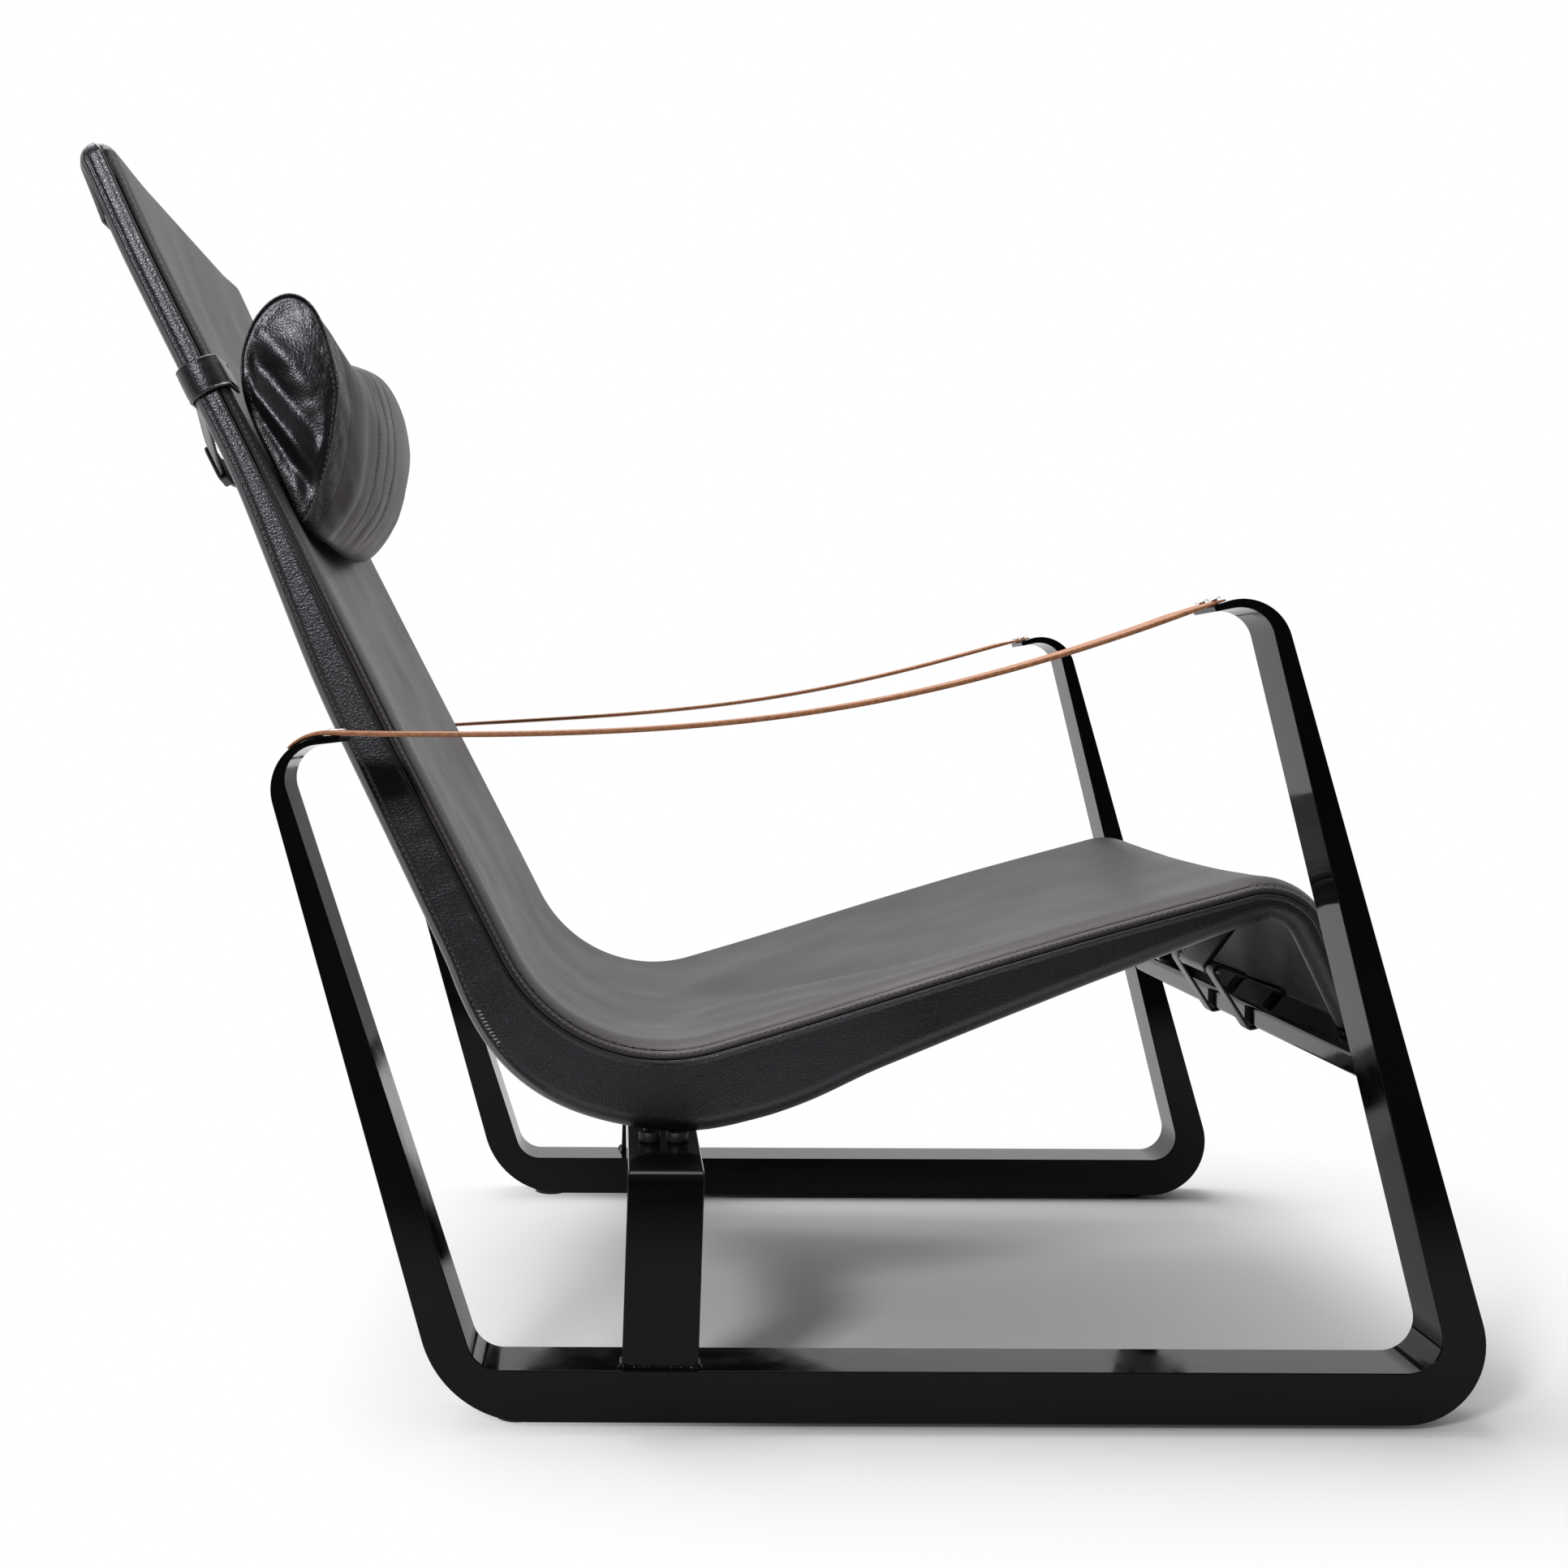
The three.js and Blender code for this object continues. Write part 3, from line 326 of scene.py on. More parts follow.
def grained_hide(name, dark, light, gloss, pebble, depth, tint, coat):
    """Pebble-grained hide: cells of uneven size with creases between them, over soft pulled clouds."""
    f = Finish(
        name, Specular_IOR_Level=0.5 + 0.3 * coat, Specular_Tint=(*tint, 1),
        Coat_Weight=coat, Coat_Roughness=gloss, Coat_Tint=(*tint, 1),
    )
    wander = f.node("ShaderNodeTexNoise", {"Vector": f.place}, Scale=160.0, Detail=2.0)
    drift = f.node("ShaderNodeVectorMath", {0: wander.outputs["Color"]}, {"operation": "SCALE"}, Scale=0.0016)
    place = f.node("ShaderNodeVectorMath", {0: f.place, 1: drift.outputs[0]}, {"operation": "ADD"}).outputs[0]
    cells = f.spread(f.pebbles(pebble, place=place), 0.0, 1.0, 0.0, 0.32)
    domes = f.spread(f.pebbles(pebble * 0.55, "SMOOTH_F1", place), 1.0, 0.0, 0.0, 0.9)
    fine = f.grain(pebble * 3.2, 3.0, 0.6, place)
    body = f.math("ADD", f.math("MULTIPLY", cells, 0.7), f.math("MULTIPLY", domes, 0.5))
    height = f.math("ADD", body, f.math("MULTIPLY", fine, 0.35))
    cloud = f.grain(14.0, 4.0)
    worn = f.math("MULTIPLY", cells, f.spread(cloud, 0.4, 1.0, 0.25, 0.7))
    relief = f.bump(height, depth)
    return f.set(
        Base_Color=f.tint(worn, (0.1, dark), (0.9, light)),
        Roughness=f.math("ADD", f.spread(cells, gloss + 0.1, gloss), f.spread(cloud, -0.05, 0.06, 0.25, 0.75)),
        Normal=relief,
        Coat_Normal=relief,
    )


def tan_bridle():
    """Smooth tan strap leather with burnished edges and a faint drawn grain along its length."""
    f = Finish("tan_bridle", Specular_IOR_Level=0.4)
    spots = f.node("ShaderNodeSeparateXYZ", {0: f.place}).outputs
    aside = f.math("ABSOLUTE", f.math("SUBTRACT", f.math("ABSOLUTE", spots["Y"], 0.0), BLADE_Y * MM), 0.0)
    edge = f.spread(aside, 0.0, 1.0, 0.0222, 0.0247)
    streak = f.grain(6.0, 5.0, 0.6, f.drawn(14.0, 160.0, 60.0))
    cloud = f.grain(22.0, 4.0)
    pores = f.pebbles(1500.0)
    face = f.tint(
        f.math("ADD", f.math("MULTIPLY", streak, 0.6), f.math("MULTIPLY", cloud, 0.4)),
        (0.3, (0.33, 0.115, 0.04)),
        (0.55, (0.46, 0.18, 0.068)),
        (0.8, (0.56, 0.24, 0.1)),
    )
    rim = f.tint(f.grain(300.0, 3.0), (0.3, (0.23, 0.085, 0.035)), (0.7, (0.4, 0.16, 0.065)))
    pits = f.spread(pores, 0.0, 1.0, 0.0, 0.25)
    return f.set(
        Base_Color=f.blend(edge, face, rim),
        Roughness=f.math("ADD", f.spread(cloud, 0.42, 0.56, 0.25, 0.75), f.math("MULTIPLY", edge, -0.1)),
        Normal=f.bump(f.math("ADD", f.math("MULTIPLY", pits, 0.5), streak), 0.00018, 0.6),
    )


def matt_nylon():
    """Moulded black nylon with a fine spark-eroded texture."""
    f = Finish("matt_nylon", Specular_IOR_Level=0.4)
    fine = f.grain(2600.0, 2.0)
    return f.set(
        Base_Color=f.tint(f.grain(60.0), (0.3, (0.008, 0.008, 0.008)), (0.7, (0.016, 0.016, 0.017))),
        Roughness=f.spread(fine, 0.45, 0.65),
        Normal=f.bump(fine, 0.0001, 0.5),
    )


def bright_zinc():
    """Zinc plating with a faint brushed line and cloudy tone."""
    f = Finish("bright_zinc", Metallic=1.0)
    line = f.grain(1.0, 4.0, 0.6, f.drawn(900.0, 60.0, 900.0))
    return f.set(
        Base_Color=f.tint(f.grain(120.0), (0.3, (0.46, 0.46, 0.45)), (0.7, (0.66, 0.65, 0.62))),
        Roughness=f.spread(line, 0.2, 0.42),
        Normal=f.bump(line, 0.00005, 0.4),
    )


def waxed_thread(name, dark, light):
    """Twisted waxed thread: fine slanted plies."""
    f = Finish(name, Specular_IOR_Level=0.35, Roughness=0.55)
    ply = f.node(
        "ShaderNodeTexWave", {"Vector": f.place}, {"bands_direction": "DIAGONAL"}, Scale=900.0, Distortion=2.0
    ).outputs["Fac"]
    return f.set(Base_Color=f.tint(ply, (0.2, dark), (0.8, light)), Normal=f.bump(ply, 0.0002, 0.6))


# Every finish with its slot
COOL, WARM = (0.93, 0.93, 1.0), (1.0, 0.925, 0.905)
LACQUER = gloss_lacquer(), "black_lacquer"
# band_hide and seat_hide are one black leather in two tones: seat_hide's lighter, warmer base colour is the
# leather's own near-black with painted sheen added, and band_hide is the darker copy.
BAND_HIDE, SEAT_HIDE, LINING = (
    (grained_hide(*row), "black_leather")
    for row in (
        ("band_hide", (0.0042, 0.0044, 0.0056), (0.0105, 0.0108, 0.0132), 0.31, 430.0, 0.00013, COOL, 0.28),
        ("seat_hide", (0.0118, 0.0104, 0.0101), (0.0255, 0.0226, 0.0218), 0.42, 760.0, 0.00007, WARM, 0.0),
        ("hide_lining", (0.026, 0.022, 0.02), (0.05, 0.043, 0.04), 0.5, 900.0, 0.00016, WARM, 0.0),
    )
)
TAN = tan_bridle(), "tan_leather"
NYLON = matt_nylon(), "black_plastic"
ZINC = bright_zinc(), "bright_steel"
THREAD = waxed_thread("waxed_thread", (0.07, 0.07, 0.073), (0.2, 0.196, 0.2)), "black_leather"
# The bar tacks' thread is pale grey: a painted highlight on the dense stitches.
TACK_HIGHLIGHT_THREAD = waxed_thread("tack_thread_painted_highlight", (0.3, 0.3, 0.3), (0.6, 0.6, 0.59)), "black_leather"


# Making of pieces


def rescale(shape, factor):
    bmesh.ops.scale(shape, vec=(factor, factor, factor), verts=shape.verts)


def mesh_of(name, shape):
    """Mesh of a shape, which is used up."""
    mesh = bpy.data.meshes.new(name)
    shape.to_mesh(mesh)
    shape.free()
    return mesh


def merge(whole, shape):
    """Adds a shape to a whole, and uses it up."""
    mesh = mesh_of("row", shape)
    whole.from_mesh(mesh)
    bpy.data.meshes.remove(mesh)


def show(name, data):
    obj = bpy.data.objects.new(name, data)
    bpy.context.scene.collection.objects.link(obj)
    return obj


def piece(name, shape, finish, nodes=(), body="chair", crisp=None, lining=None):
    """One finished piece from a shape in millimetres, on its body and in place of its CAD nodes."""
    material, slot = finish
    rescale(shape, MM)
    mesh = mesh_of(name, shape)
    mesh.materials.append(material)
    if lining:
        mesh.materials.append(lining[0])
    mesh.shade_smooth()
    if crisp:
        mesh.set_sharp_from_angle(angle=math.radians(crisp))
    obj = show(name, mesh)
    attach(obj, body)
    if nodes:
        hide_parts(*nodes)
    return obj


def round_edges(obj, width, segments=3, angle=35):
    bevel = obj.modifiers.new("edge_round", "BEVEL")
    bevel.width = width * MM
    bevel.segments = segments
    bevel.limit_method = "ANGLE"
    bevel.angle_limit = math.radians(angle)
    even = obj.modifiers.new("face_weight", "WEIGHTED_NORMAL")
    even.keep_sharp = True


def thicken(obj, thickness, lined=False):
    wall = obj.modifiers.new("thickness", "SOLIDIFY")
    wall.thickness = thickness * MM
    wall.offset = -1.0
    wall.use_even_offset = True
    wall.use_quality_normals = True
    if lined:
        wall.material_offset = 1
        wall.material_offset_rim = 0


def outline_face(corners, steps):
    """A flat face in the XZ plane through corners of x, z and radius, drawn with one moving point."""
    shape = bmesh.new()
    first = pen = None
    for i, (x, z, radius) in enumerate(corners):
        corner = Vector((x, 0, z))
        before, after = corners[i - 1], corners[(i + 1) % len(corners)]
        back = (Vector((before[0], 0, before[1])) - corner).normalized()
        ahead = (Vector((after[0], 0, after[1])) - corner).normalized()
        half = back.angle(ahead) / 2
        reach = radius / math.tan(half)
        step = shape.verts.new(corner + back * reach)
        if pen:
            shape.edges.new((pen, step))
        first = first or step
        pen = step
        if radius > 0:
            centre = corner + (back + ahead).normalized() * (radius / math.sin(half))
            axis = (-back).cross(ahead).normalized()
            angle = math.pi - 2 * half
            spun = bmesh.ops.spin(shape, geom=[pen], cent=centre, axis=axis, angle=angle, steps=steps)
            pen = next(v for v in spun["geom_last"] if isinstance(v, bmesh.types.BMVert))
    shape.edges.new((pen, first))
    bmesh.ops.contextual_create(shape, geom=shape.edges[:])
    return shape


def slab(corners, y, width, steps):
    """An outline in XZ as a body of a width across the chair."""
    shape = outline_face(corners, steps)
    grown = bmesh.ops.extrude_face_region(shape, geom=shape.faces[:])["geom"]
    bmesh.ops.translate(shape, vec=(0, width, 0), verts=[v for v in grown if isinstance(v, bmesh.types.BMVert)])
    bmesh.ops.translate(shape, vec=(0, y - width / 2, 0), verts=shape.verts)
    bmesh.ops.recalc_face_normals(shape, faces=shape.faces)
    return shape


def turned(profile, segments):
    """A turned body about Z from a profile of radius and height; one that stays off the axis makes a ring."""
    shape = bmesh.new()
    points = [shape.verts.new((r, 0, z)) for r, z in profile]
    edges = [shape.edges.new(pair) for pair in zip(points, points[1:])]
    bmesh.ops.spin(
        shape, geom=points + edges, cent=(0, 0, 0), axis=(0, 0, 1), angle=2 * math.pi, steps=segments, use_merge=True
    )
    bmesh.ops.remove_doubles(shape, verts=shape.verts, dist=1e-4)
    if profile[0][0] > 0:
        bmesh.ops.bridge_loops(shape, edges=[e for e in shape.edges if e.is_boundary])
    bmesh.ops.recalc_face_normals(shape, faces=shape.faces)
    return shape


def stand(name, node, profile, segments, place, finish, axis=(0, 0, 1), crisp=40):
    """A turned piece at a place, with its axis along a direction, instead of a CAD node."""
    shape = turned(profile, segments)
    turn = Vector((0, 0, 1)).rotation_difference(Vector(axis)).to_matrix().to_4x4()
    bmesh.ops.transform(shape, matrix=Matrix.Translation(place) @ turn, verts=shape.verts)
    piece(name, shape, finish, [node], crisp=crisp)


def swept(across, along, point, closed=False, capped=False, flip=False):
    """A grid of across by along cells whose vertices go to point(u, v), u and v from 0 to 1."""
    shape = bmesh.new()
    bmesh.ops.create_grid(shape, x_segments=across, y_segments=along, size=0.5)
    for v in shape.verts:
        v.co = point(v.co.x + 0.5, v.co.y + 0.5)
    if closed:
        bmesh.ops.remove_doubles(shape, verts=shape.verts, dist=1e-3)
    if capped:
        bmesh.ops.holes_fill(shape, edges=[e for e in shape.edges if e.is_boundary], sides=0)
    if closed:
        bmesh.ops.recalc_face_normals(shape, faces=shape.faces)
    elif flip:
        bmesh.ops.reverse_faces(shape, faces=shape.faces)
    return shape


STRIP_FLAT, STRIP_TURN = 12, 6
STRIP_CELLS = 2 * (STRIP_FLAT + STRIP_TURN)


def strip_section(u, half_width, thickness, groove, margin):
    """Across and lift of a strap's section: round edges, and a crease near each edge of both faces."""
    flat, turn = STRIP_FLAT, STRIP_TURN
    at = u * STRIP_CELLS
    radius = thickness / 2
    inner = half_width - radius
    if at <= flat:
        across, side = mix(-inner, inner, at / flat), -1
    elif at <= flat + turn:
        angle = math.pi * ((at - flat) / turn - 0.5)
        return inner + radius * math.cos(angle), radius + radius * math.sin(angle)
    elif at <= 2 * flat + turn:
        across, side = mix(inner, -inner, (at - flat - turn) / flat), 1
    else:
        angle = math.pi * ((at - 2 * flat - turn) / turn + 0.5)
        return -inner + radius * math.cos(angle), radius + radius * math.sin(angle)
    pinch = hump(half_width - abs(across) - margin, 1.1) * groove
    return across, radius + side * (radius - pinch)


class Walk:
    """A row of points by the distance along it."""

    def __init__(self, points):
        self.points = points
        self.marks = [0.0]
        for a, b in zip(points, points[1:]):
            self.marks.append(self.marks[-1] + (b - a).length)
        self.total = self.marks[-1]

    def leg(self, d):
        return min(max(bisect.bisect_left(self.marks, d) - 1, 0), len(self.points) - 2)

    def at(self, d, soft=0.0):
        """Place and way at a distance, the way as a mean over a reach."""
        i = self.leg(d)
        a, b = self.points[i], self.points[i + 1]
        way = (b - a).normalized()
        if soft:
            way = (self.at(max(0, d - soft))[1] + self.at(min(self.total, d + soft))[1]).normalized()
        return a.lerp(b, (d - self.marks[i]) / max(self.marks[i + 1] - self.marks[i], 1e-9)), way


class Seams:
    """Stitches of one body, gathered row by row."""

    def __init__(self):
        self.shape = bmesh.new()

    def row(self, path, pitch=4.6, length=3.5, girth=0.5, slant=5.0):
        """Stitches along a path of points and outward directions."""
        path = list(path)
        line = Walk([p for p, _ in path])
        count = max(1, int(line.total / pitch))
        tilt = Matrix.Rotation(math.radians(slant), 4, "Z")
        size = Matrix.Diagonal((length / 2, girth, girth * 0.8, 1))
        row = bmesh.new()
        for k in range(count):
            middle = (k + 0.5) * line.total / count
            place, way = line.at(middle)
            out = path[line.leg(middle)][1].normalized()
            side = out.cross(way).normalized()
            out = way.cross(side).normalized()
            turn = Matrix((way, side, out)).transposed().to_4x4()
            matrix = Matrix.Translation(place + out * girth * 0.4) @ turn @ tilt @ size @ LYING
            bmesh.ops.create_uvsphere(row, u_segments=6, v_segments=4, radius=1.0, matrix=matrix)
        merge(self.shape, row)


LYING = Matrix.Rotation(math.pi / 2, 4, "Y")
chair_seams, tack_seams, head_seams = Seams(), Seams(), Seams()


# Steel

# Profiles of turned pieces: radius and height
FOOT = ((0, 0), (13.2, 0), (14.6, 0.6), (15, 1.6), (15, 3.1), (14.4, 3.7), (4, 3.7), (4, 11), (0, 11))
SPACER = ((4.3, 0), (7.1, 0), (7.5, 0.5), (7.5, 6.1), (7.1, 6.6), (4.3, 6.6))
RIVET = ((0, -4), (2, -4), (2, 3.4), (4.3, 3.4), (4.5, 3.6), (4.1, 4.1), (3.0, 4.4), (1.5, 4.55), (0, 4.6))
ROD = ((0, -62), (1.5, -62), (2, -61.4), (2, 61.4), (1.5, 62), (0, 62))
PLAY = 0.3
RAIL_SHANK, BRIDGE_SHANK = 34, 18


def bolt(shank):
    return ((0, -3), (2.6, -3), (2.6, -5), (5.6, -5), (6.5, -4.1), (6.5, 0), (4, 0), (4, shank), (0, shank))


def make_side_frames():
    for side, sign in SIDES:
        shape = slab(BLADE_CORNERS, sign * BLADE_Y, BLADE_WIDTH, 20)
        round_edges(piece(f"blade_{side}", shape, LACQUER, [f"side_frame_{side}"], crisp=50), 0.7)
        for end, x in GLIDE_PLACES.items():
            name = f"{end}_{side}"
            stand(f"foot_{name}", f"glide_{name}", FOOT, 40, (x, sign * BLADE_Y, 0), NYLON)


BAR_RISE = Vector((-math.sin(math.radians(POST_LEAN)), math.cos(math.radians(POST_LEAN))))


def bar_point(across, up):
    return BAR_REAR + Vector((BAR_RISE.y, -BAR_RISE.x)) * across + BAR_RISE * up


BAR_LOWS = [bar_point(0, -BAR_THICKNESS), bar_point(BAR_DEPTH, -BAR_THICKNESS)]
BAR_HIGHS = [bar_point(BAR_DEPTH, 0), bar_point(0, 0)]


def make_crossbar():
    shape = slab([(p.x, p.y, BAR_CORNER) for p in BAR_LOWS + BAR_HIGHS], 0, BAR_SPAN, 8)
    round_edges(piece("crossbar", shape, LACQUER, ["front_crossbar"], crisp=50), 0.6, 2)
    under = bar_point(FOOT_SETBACK, -BAR_THICKNESS - PLAY)
    for side, sign in SIDES:
        place = upright(under, sign * RAIL_Y)
        stand(f"rail_bolt_{side}", f"foot_bolt_{side}", bolt(RAIL_SHANK), 36, place, LACQUER, upright(BAR_RISE))


def lean_bridge(shape):
    for v in shape.verts:
        v.co.x += BRIDGE_SLOPE * (v.co.z - BRIDGE_FOOT)
    return shape


def make_bridge():
    half, top, leg, foot = BRIDGE_HALF, BRIDGE_TOP, BRIDGE_FLANGE, BRIDGE_FOOT
    corners = (
        (-half, foot, 0), (leg - half, foot, 0), (leg - half, top - leg, 0), (half - leg, top - leg, 0),
        (half - leg, foot, 0), (half, foot, 0), (half, top, BRIDGE_FOLD), (-half, top, BRIDGE_FOLD),
    )
    shape = slab(corners, 0, BRIDGE_LENGTH, 10)

    def open_side(face):
        middle = face.calc_center_median()
        at_foot = abs(middle.z - foot) < 0.1
        inner_leg = abs(abs(middle.x) - (half - leg)) < 0.1 and middle.z < top - leg
        inner_top = abs(middle.z - (top - leg)) < 0.1 and abs(face.normal.z) > 0.9
        return at_foot or inner_leg or inner_top

    bmesh.ops.delete(shape, geom=[f for f in shape.faces if open_side(f)], context="FACES")
    bmesh.ops.rotate(shape, cent=(0, 0, 0), matrix=Matrix.Rotation(math.pi / 2, 3, "Z"), verts=shape.verts)
    bmesh.ops.translate(shape, vec=(BRIDGE_REAR + BRIDGE_LENGTH / 2, 0, 0), verts=shape.verts)
    bridge = piece("bridge", lean_bridge(shape), LACQUER, ["rear_bridge"], crisp=50)
    thicken(bridge, BRIDGE_WALL)
    round_edges(bridge, 0.9, 2, 40)
    for end, shift in (("rear", -1), ("front", 1)):
        for side, sign in SIDES:
            x, y, name = BRIDGE_MID + shift * BOLT_SPACING / 2, sign * RAIL_Y, f"{end}_{side}"
            stand(f"spacer_{name}", f"bridge_spacer_{name}", SPACER, 32, (x, y, BRIDGE_TOP + PLAY), NYLON)
            place = (x, y, BRIDGE_TOP - BRIDGE_WALL - PLAY)
            stand(f"bolt_{name}", f"bridge_bolt_{name}", bolt(BRIDGE_SHANK), 36, place, LACQUER)


def make_welds():
    """Beads where the bridge stands on the blades."""
    rear, front = BRIDGE_REAR, BRIDGE_REAR + BRIDGE_LENGTH
    for side, sign in SIDES:
        outer, inner = sign * BRIDGE_HALF, sign * (BRIDGE_HALF - BRIDGE_FLANGE)
        corners = ((rear, inner), (rear, outer), (front, outer), (front, inner))
        line = Walk([Vector((x, y, BRIDGE_FOOT + 0.2)) for x, y in corners])

        def bead(u, v):
            d = v * line.total
            place, way = line.at(d)
            corner = min(abs(d - mark) for mark in (BRIDGE_FLANGE, BRIDGE_FLANGE + BRIDGE_LENGTH))
            swell = 1.5 + 0.25 * math.sin(d * 2.1) + 1.5 * hump(corner, 3.2)
            swell *= min(1.0, 0.2 + 20 * min(v, 1 - v))
            out = way.cross(Vector((0, 0, 1))) * (-sign)
            angle = 2 * math.pi * u
            lump = swell * (1 + 0.12 * noise.noise(place * 0.5))
            return place - out * 0.2 + out * lump * math.cos(angle) + Vector((0, 0, lump * math.sin(angle)))

        shape = swept(10, 90, bead, closed=True, capped=True)
        piece(f"weld_{side}", lean_bridge(shape), LACQUER)


# Leather sling

SHEET_COLUMNS = 96
EDGE_COLUMNS = 20
EDGE_REACH = 24.0
FLAP_ROWS = 14
WRAP_ROWS = 28
SHEET_ROWS = 330
EDGE_Y = RAIL_Y + COVER_HALF - EDGE_REACH
STITCH_BACK = math.radians(16)
HOOD_TOP = COVER_HALF - 7.5

# Soft folds of the seat: start and end as distance from the head and place across, half width and height
FOLDS = (
    (770, -60, 930, -190, 26, 6.4),
    (800, 20, 960, -120, 30, -5.8),
    (760, 60, 900, 170, 34, 4.0),
    (790, -130, 870, -215, 20, 3.4),
    (700, -120, 790, -30, 26, -1.6),
    (705, 130, 790, 40, 26, -1.6),
    (820, 110, 940, 205, 18, -1.5),
)


def folds_at(s, y):
    """Height of the folds over the smooth sheet."""
    edge = 1 - ease(0.8, 1.0, abs(y) / RAIL_Y)
    ripple = 0.5 * noise.noise(Vector((s / 70, y / 90, 3.1))) + 0.22 * noise.noise(Vector((s / 24, y / 30, 7.7)))
    return edge * (pulled(FOLDS, Vector((s, y)), 0.15, 0.7) + ripple)


def edge_turn(s):
    """How far the sheet goes round the rail: to the front corner behind the head, further round below."""
    return math.radians(mix(54, 80, ease(200, 470, s)))


def edge_roll(turn, radius, lift):
    """Place across and lift on the sheet's rolled edge, and the way out of it."""
    out = Vector((math.sin(turn) / EDGE_REACH, math.cos(turn) / radius)).normalized()
    place = Vector((EDGE_Y + EDGE_REACH * math.sin(turn), radius * math.cos(turn)))
    return place + out * lift, out


def seam_relief(back):
    """Height of the sewn edge: tucked in at the seam, a stitched ridge beside it, then a shallow line."""
    d = 12.6 * back
    ridge = 0.5 * hump(d - 2.9, 1.5) - 0.3 * hump(d - 3.5, 0.5)
    return ridge - 0.9 * hump(d, 0.8) - 0.5 * hump(d - 6.2, 0.9)


def hem_drop(s):
    """How far the middle of the front drop hangs below its ends."""
    drop = max(0.0, (s - FRONT_END) / (HEM_END - FRONT_END))
    return HEM_DIP * drop * drop


def sheet_spot(u, v):
    cell = u * SHEET_COLUMNS
    far = SHEET_COLUMNS - EDGE_COLUMNS
    side, round_share, y = 0, 0.0, 0.0
    if cell < EDGE_COLUMNS:
        side, round_share = -1, 1 - cell / EDGE_COLUMNS
    elif cell > far:
        side, round_share = 1, (cell - far) / EDGE_COLUMNS
    else:
        y = mix(-EDGE_Y, EDGE_Y, (cell - EDGE_COLUMNS) / (far - EDGE_COLUMNS))
    reach = EDGE_Y + EDGE_REACH * round_share if side else abs(y)
    top = mix(COVER_HALF - 1.5, HOOD_TOP, ease(140, 236, reach))
    row = v * SHEET_ROWS
    back_out = left_of(BACK_WAY)
    dip = pucker = 0.0
    if row <= FLAP_ROWS:
        s, out = mix(HOOD_END, top, row / FLAP_ROWS), -back_out
        radius = FLAP_RADIUS + 2 * (1 - row / FLAP_ROWS)
        sag = 0.0
        pucker = 0.35 * ease(0, FLAP_ROWS, row)
    elif row <= FLAP_ROWS + WRAP_ROWS:
        share = (row - FLAP_ROWS) / WRAP_ROWS
        out = Matrix.Rotation(math.pi * (1 - share), 2) @ back_out
        s, radius, sag = top, mix(FLAP_RADIUS, COVER_HALF, share), 0.0
        pucker = 0.9
    else:
        share = (row - FLAP_ROWS - WRAP_ROWS) / (SHEET_ROWS - FLAP_ROWS - WRAP_ROWS)
        s = mix(top, HEM_END, share)
        out, radius, sag = left_of(line_at(s)[1]), COVER_HALF, graded(SAGS, s)
        dip = hem_drop(s)
        pucker = 0.9 * (1 - ease(COVER_HALF, 40, s))
    if side:
        turn = round_share * edge_turn(s)
        gather = ease(0.3, 0.95, round_share) * pucker * 0.4
        relief = seam_relief(edge_turn(s) - turn) * (1 - 0.4 * min(1.0, pucker))
        (aside, lift), _ = edge_roll(turn, radius, relief + gather * math.sin(row * 1.3) * 0.8)
        y = side * aside
    else:
        share = 1 - (y / EDGE_Y) ** 2
        lift = radius - sag * share
        if row > FLAP_ROWS + WRAP_ROWS:
            lift += folds_at(s, y) * ease(COVER_HALF, 90, s) * (1 - 0.7 * ease(FRONT_START, FRONT_END, s))
    centre = spot(s, -COVER_HALF, y)
    lower = DROP_WAY * dip * max(0.0, 1 - (y / RAIL_Y) ** 2)
    return centre + upright(out * lift + lower)


def make_sheet():
    shape = swept(SHEET_COLUMNS, SHEET_ROWS, sheet_spot, flip=True)
    sheet = piece("sling_cover", shape, SEAT_HIDE, ["sling_sheet"], lining=LINING)
    thicken(sheet, LEATHER, lined=True)

    def edge_stitch(s, sign):
        (aside, lift), (across, rise) = edge_roll(edge_turn(s) - STITCH_BACK, COVER_HALF, seam_relief(STITCH_BACK))
        return spot(s, lift - COVER_HALF, sign * aside), out_at(s) * rise + Vector((0, sign * across, 0))

    def hem_stitch(y):
        lower = DROP_WAY * hem_drop(HEM_END - HEM_SEAM) * (1 - (y / RAIL_Y) ** 2)
        return spot(HEM_END - HEM_SEAM, 0, y) + upright(lower), out_at(HEM_END)

    for _, sign in SIDES:
        chair_seams.row(edge_stitch(s, sign) for s in range(8, 1305, 3))
    rear = -upright(left_of(BACK_WAY))
    chair_seams.row((spot(HOOD_END - HOOD_SEAM, -COVER_HALF - FLAP_RADIUS, y), rear) for y in range(-237, 238, 6))
    hem = [hem_stitch(y) for y in range(-228, 229, 6)]
    chair_seams.row(hem)
    chair_seams.row((p - o * LEATHER, -o) for p, o in hem)


# Section of a side band: columns from the outer seam round the rear to the inner side
BAND_TOP = 14
BAND_FLANK = 20
BAND_ROUND = 32
BAND_REAR = 24
BAND_INNER = 8
BAND_LIP = 5
BAND_COLUMNS = BAND_TOP + BAND_FLANK + BAND_ROUND + BAND_INNER + BAND_LIP
BAND_ROWS = 420
TOE_ROWS = 14
REAR_SEAM = math.radians(112)
REAR_TURN = 68
TOE_REACH = 11.6


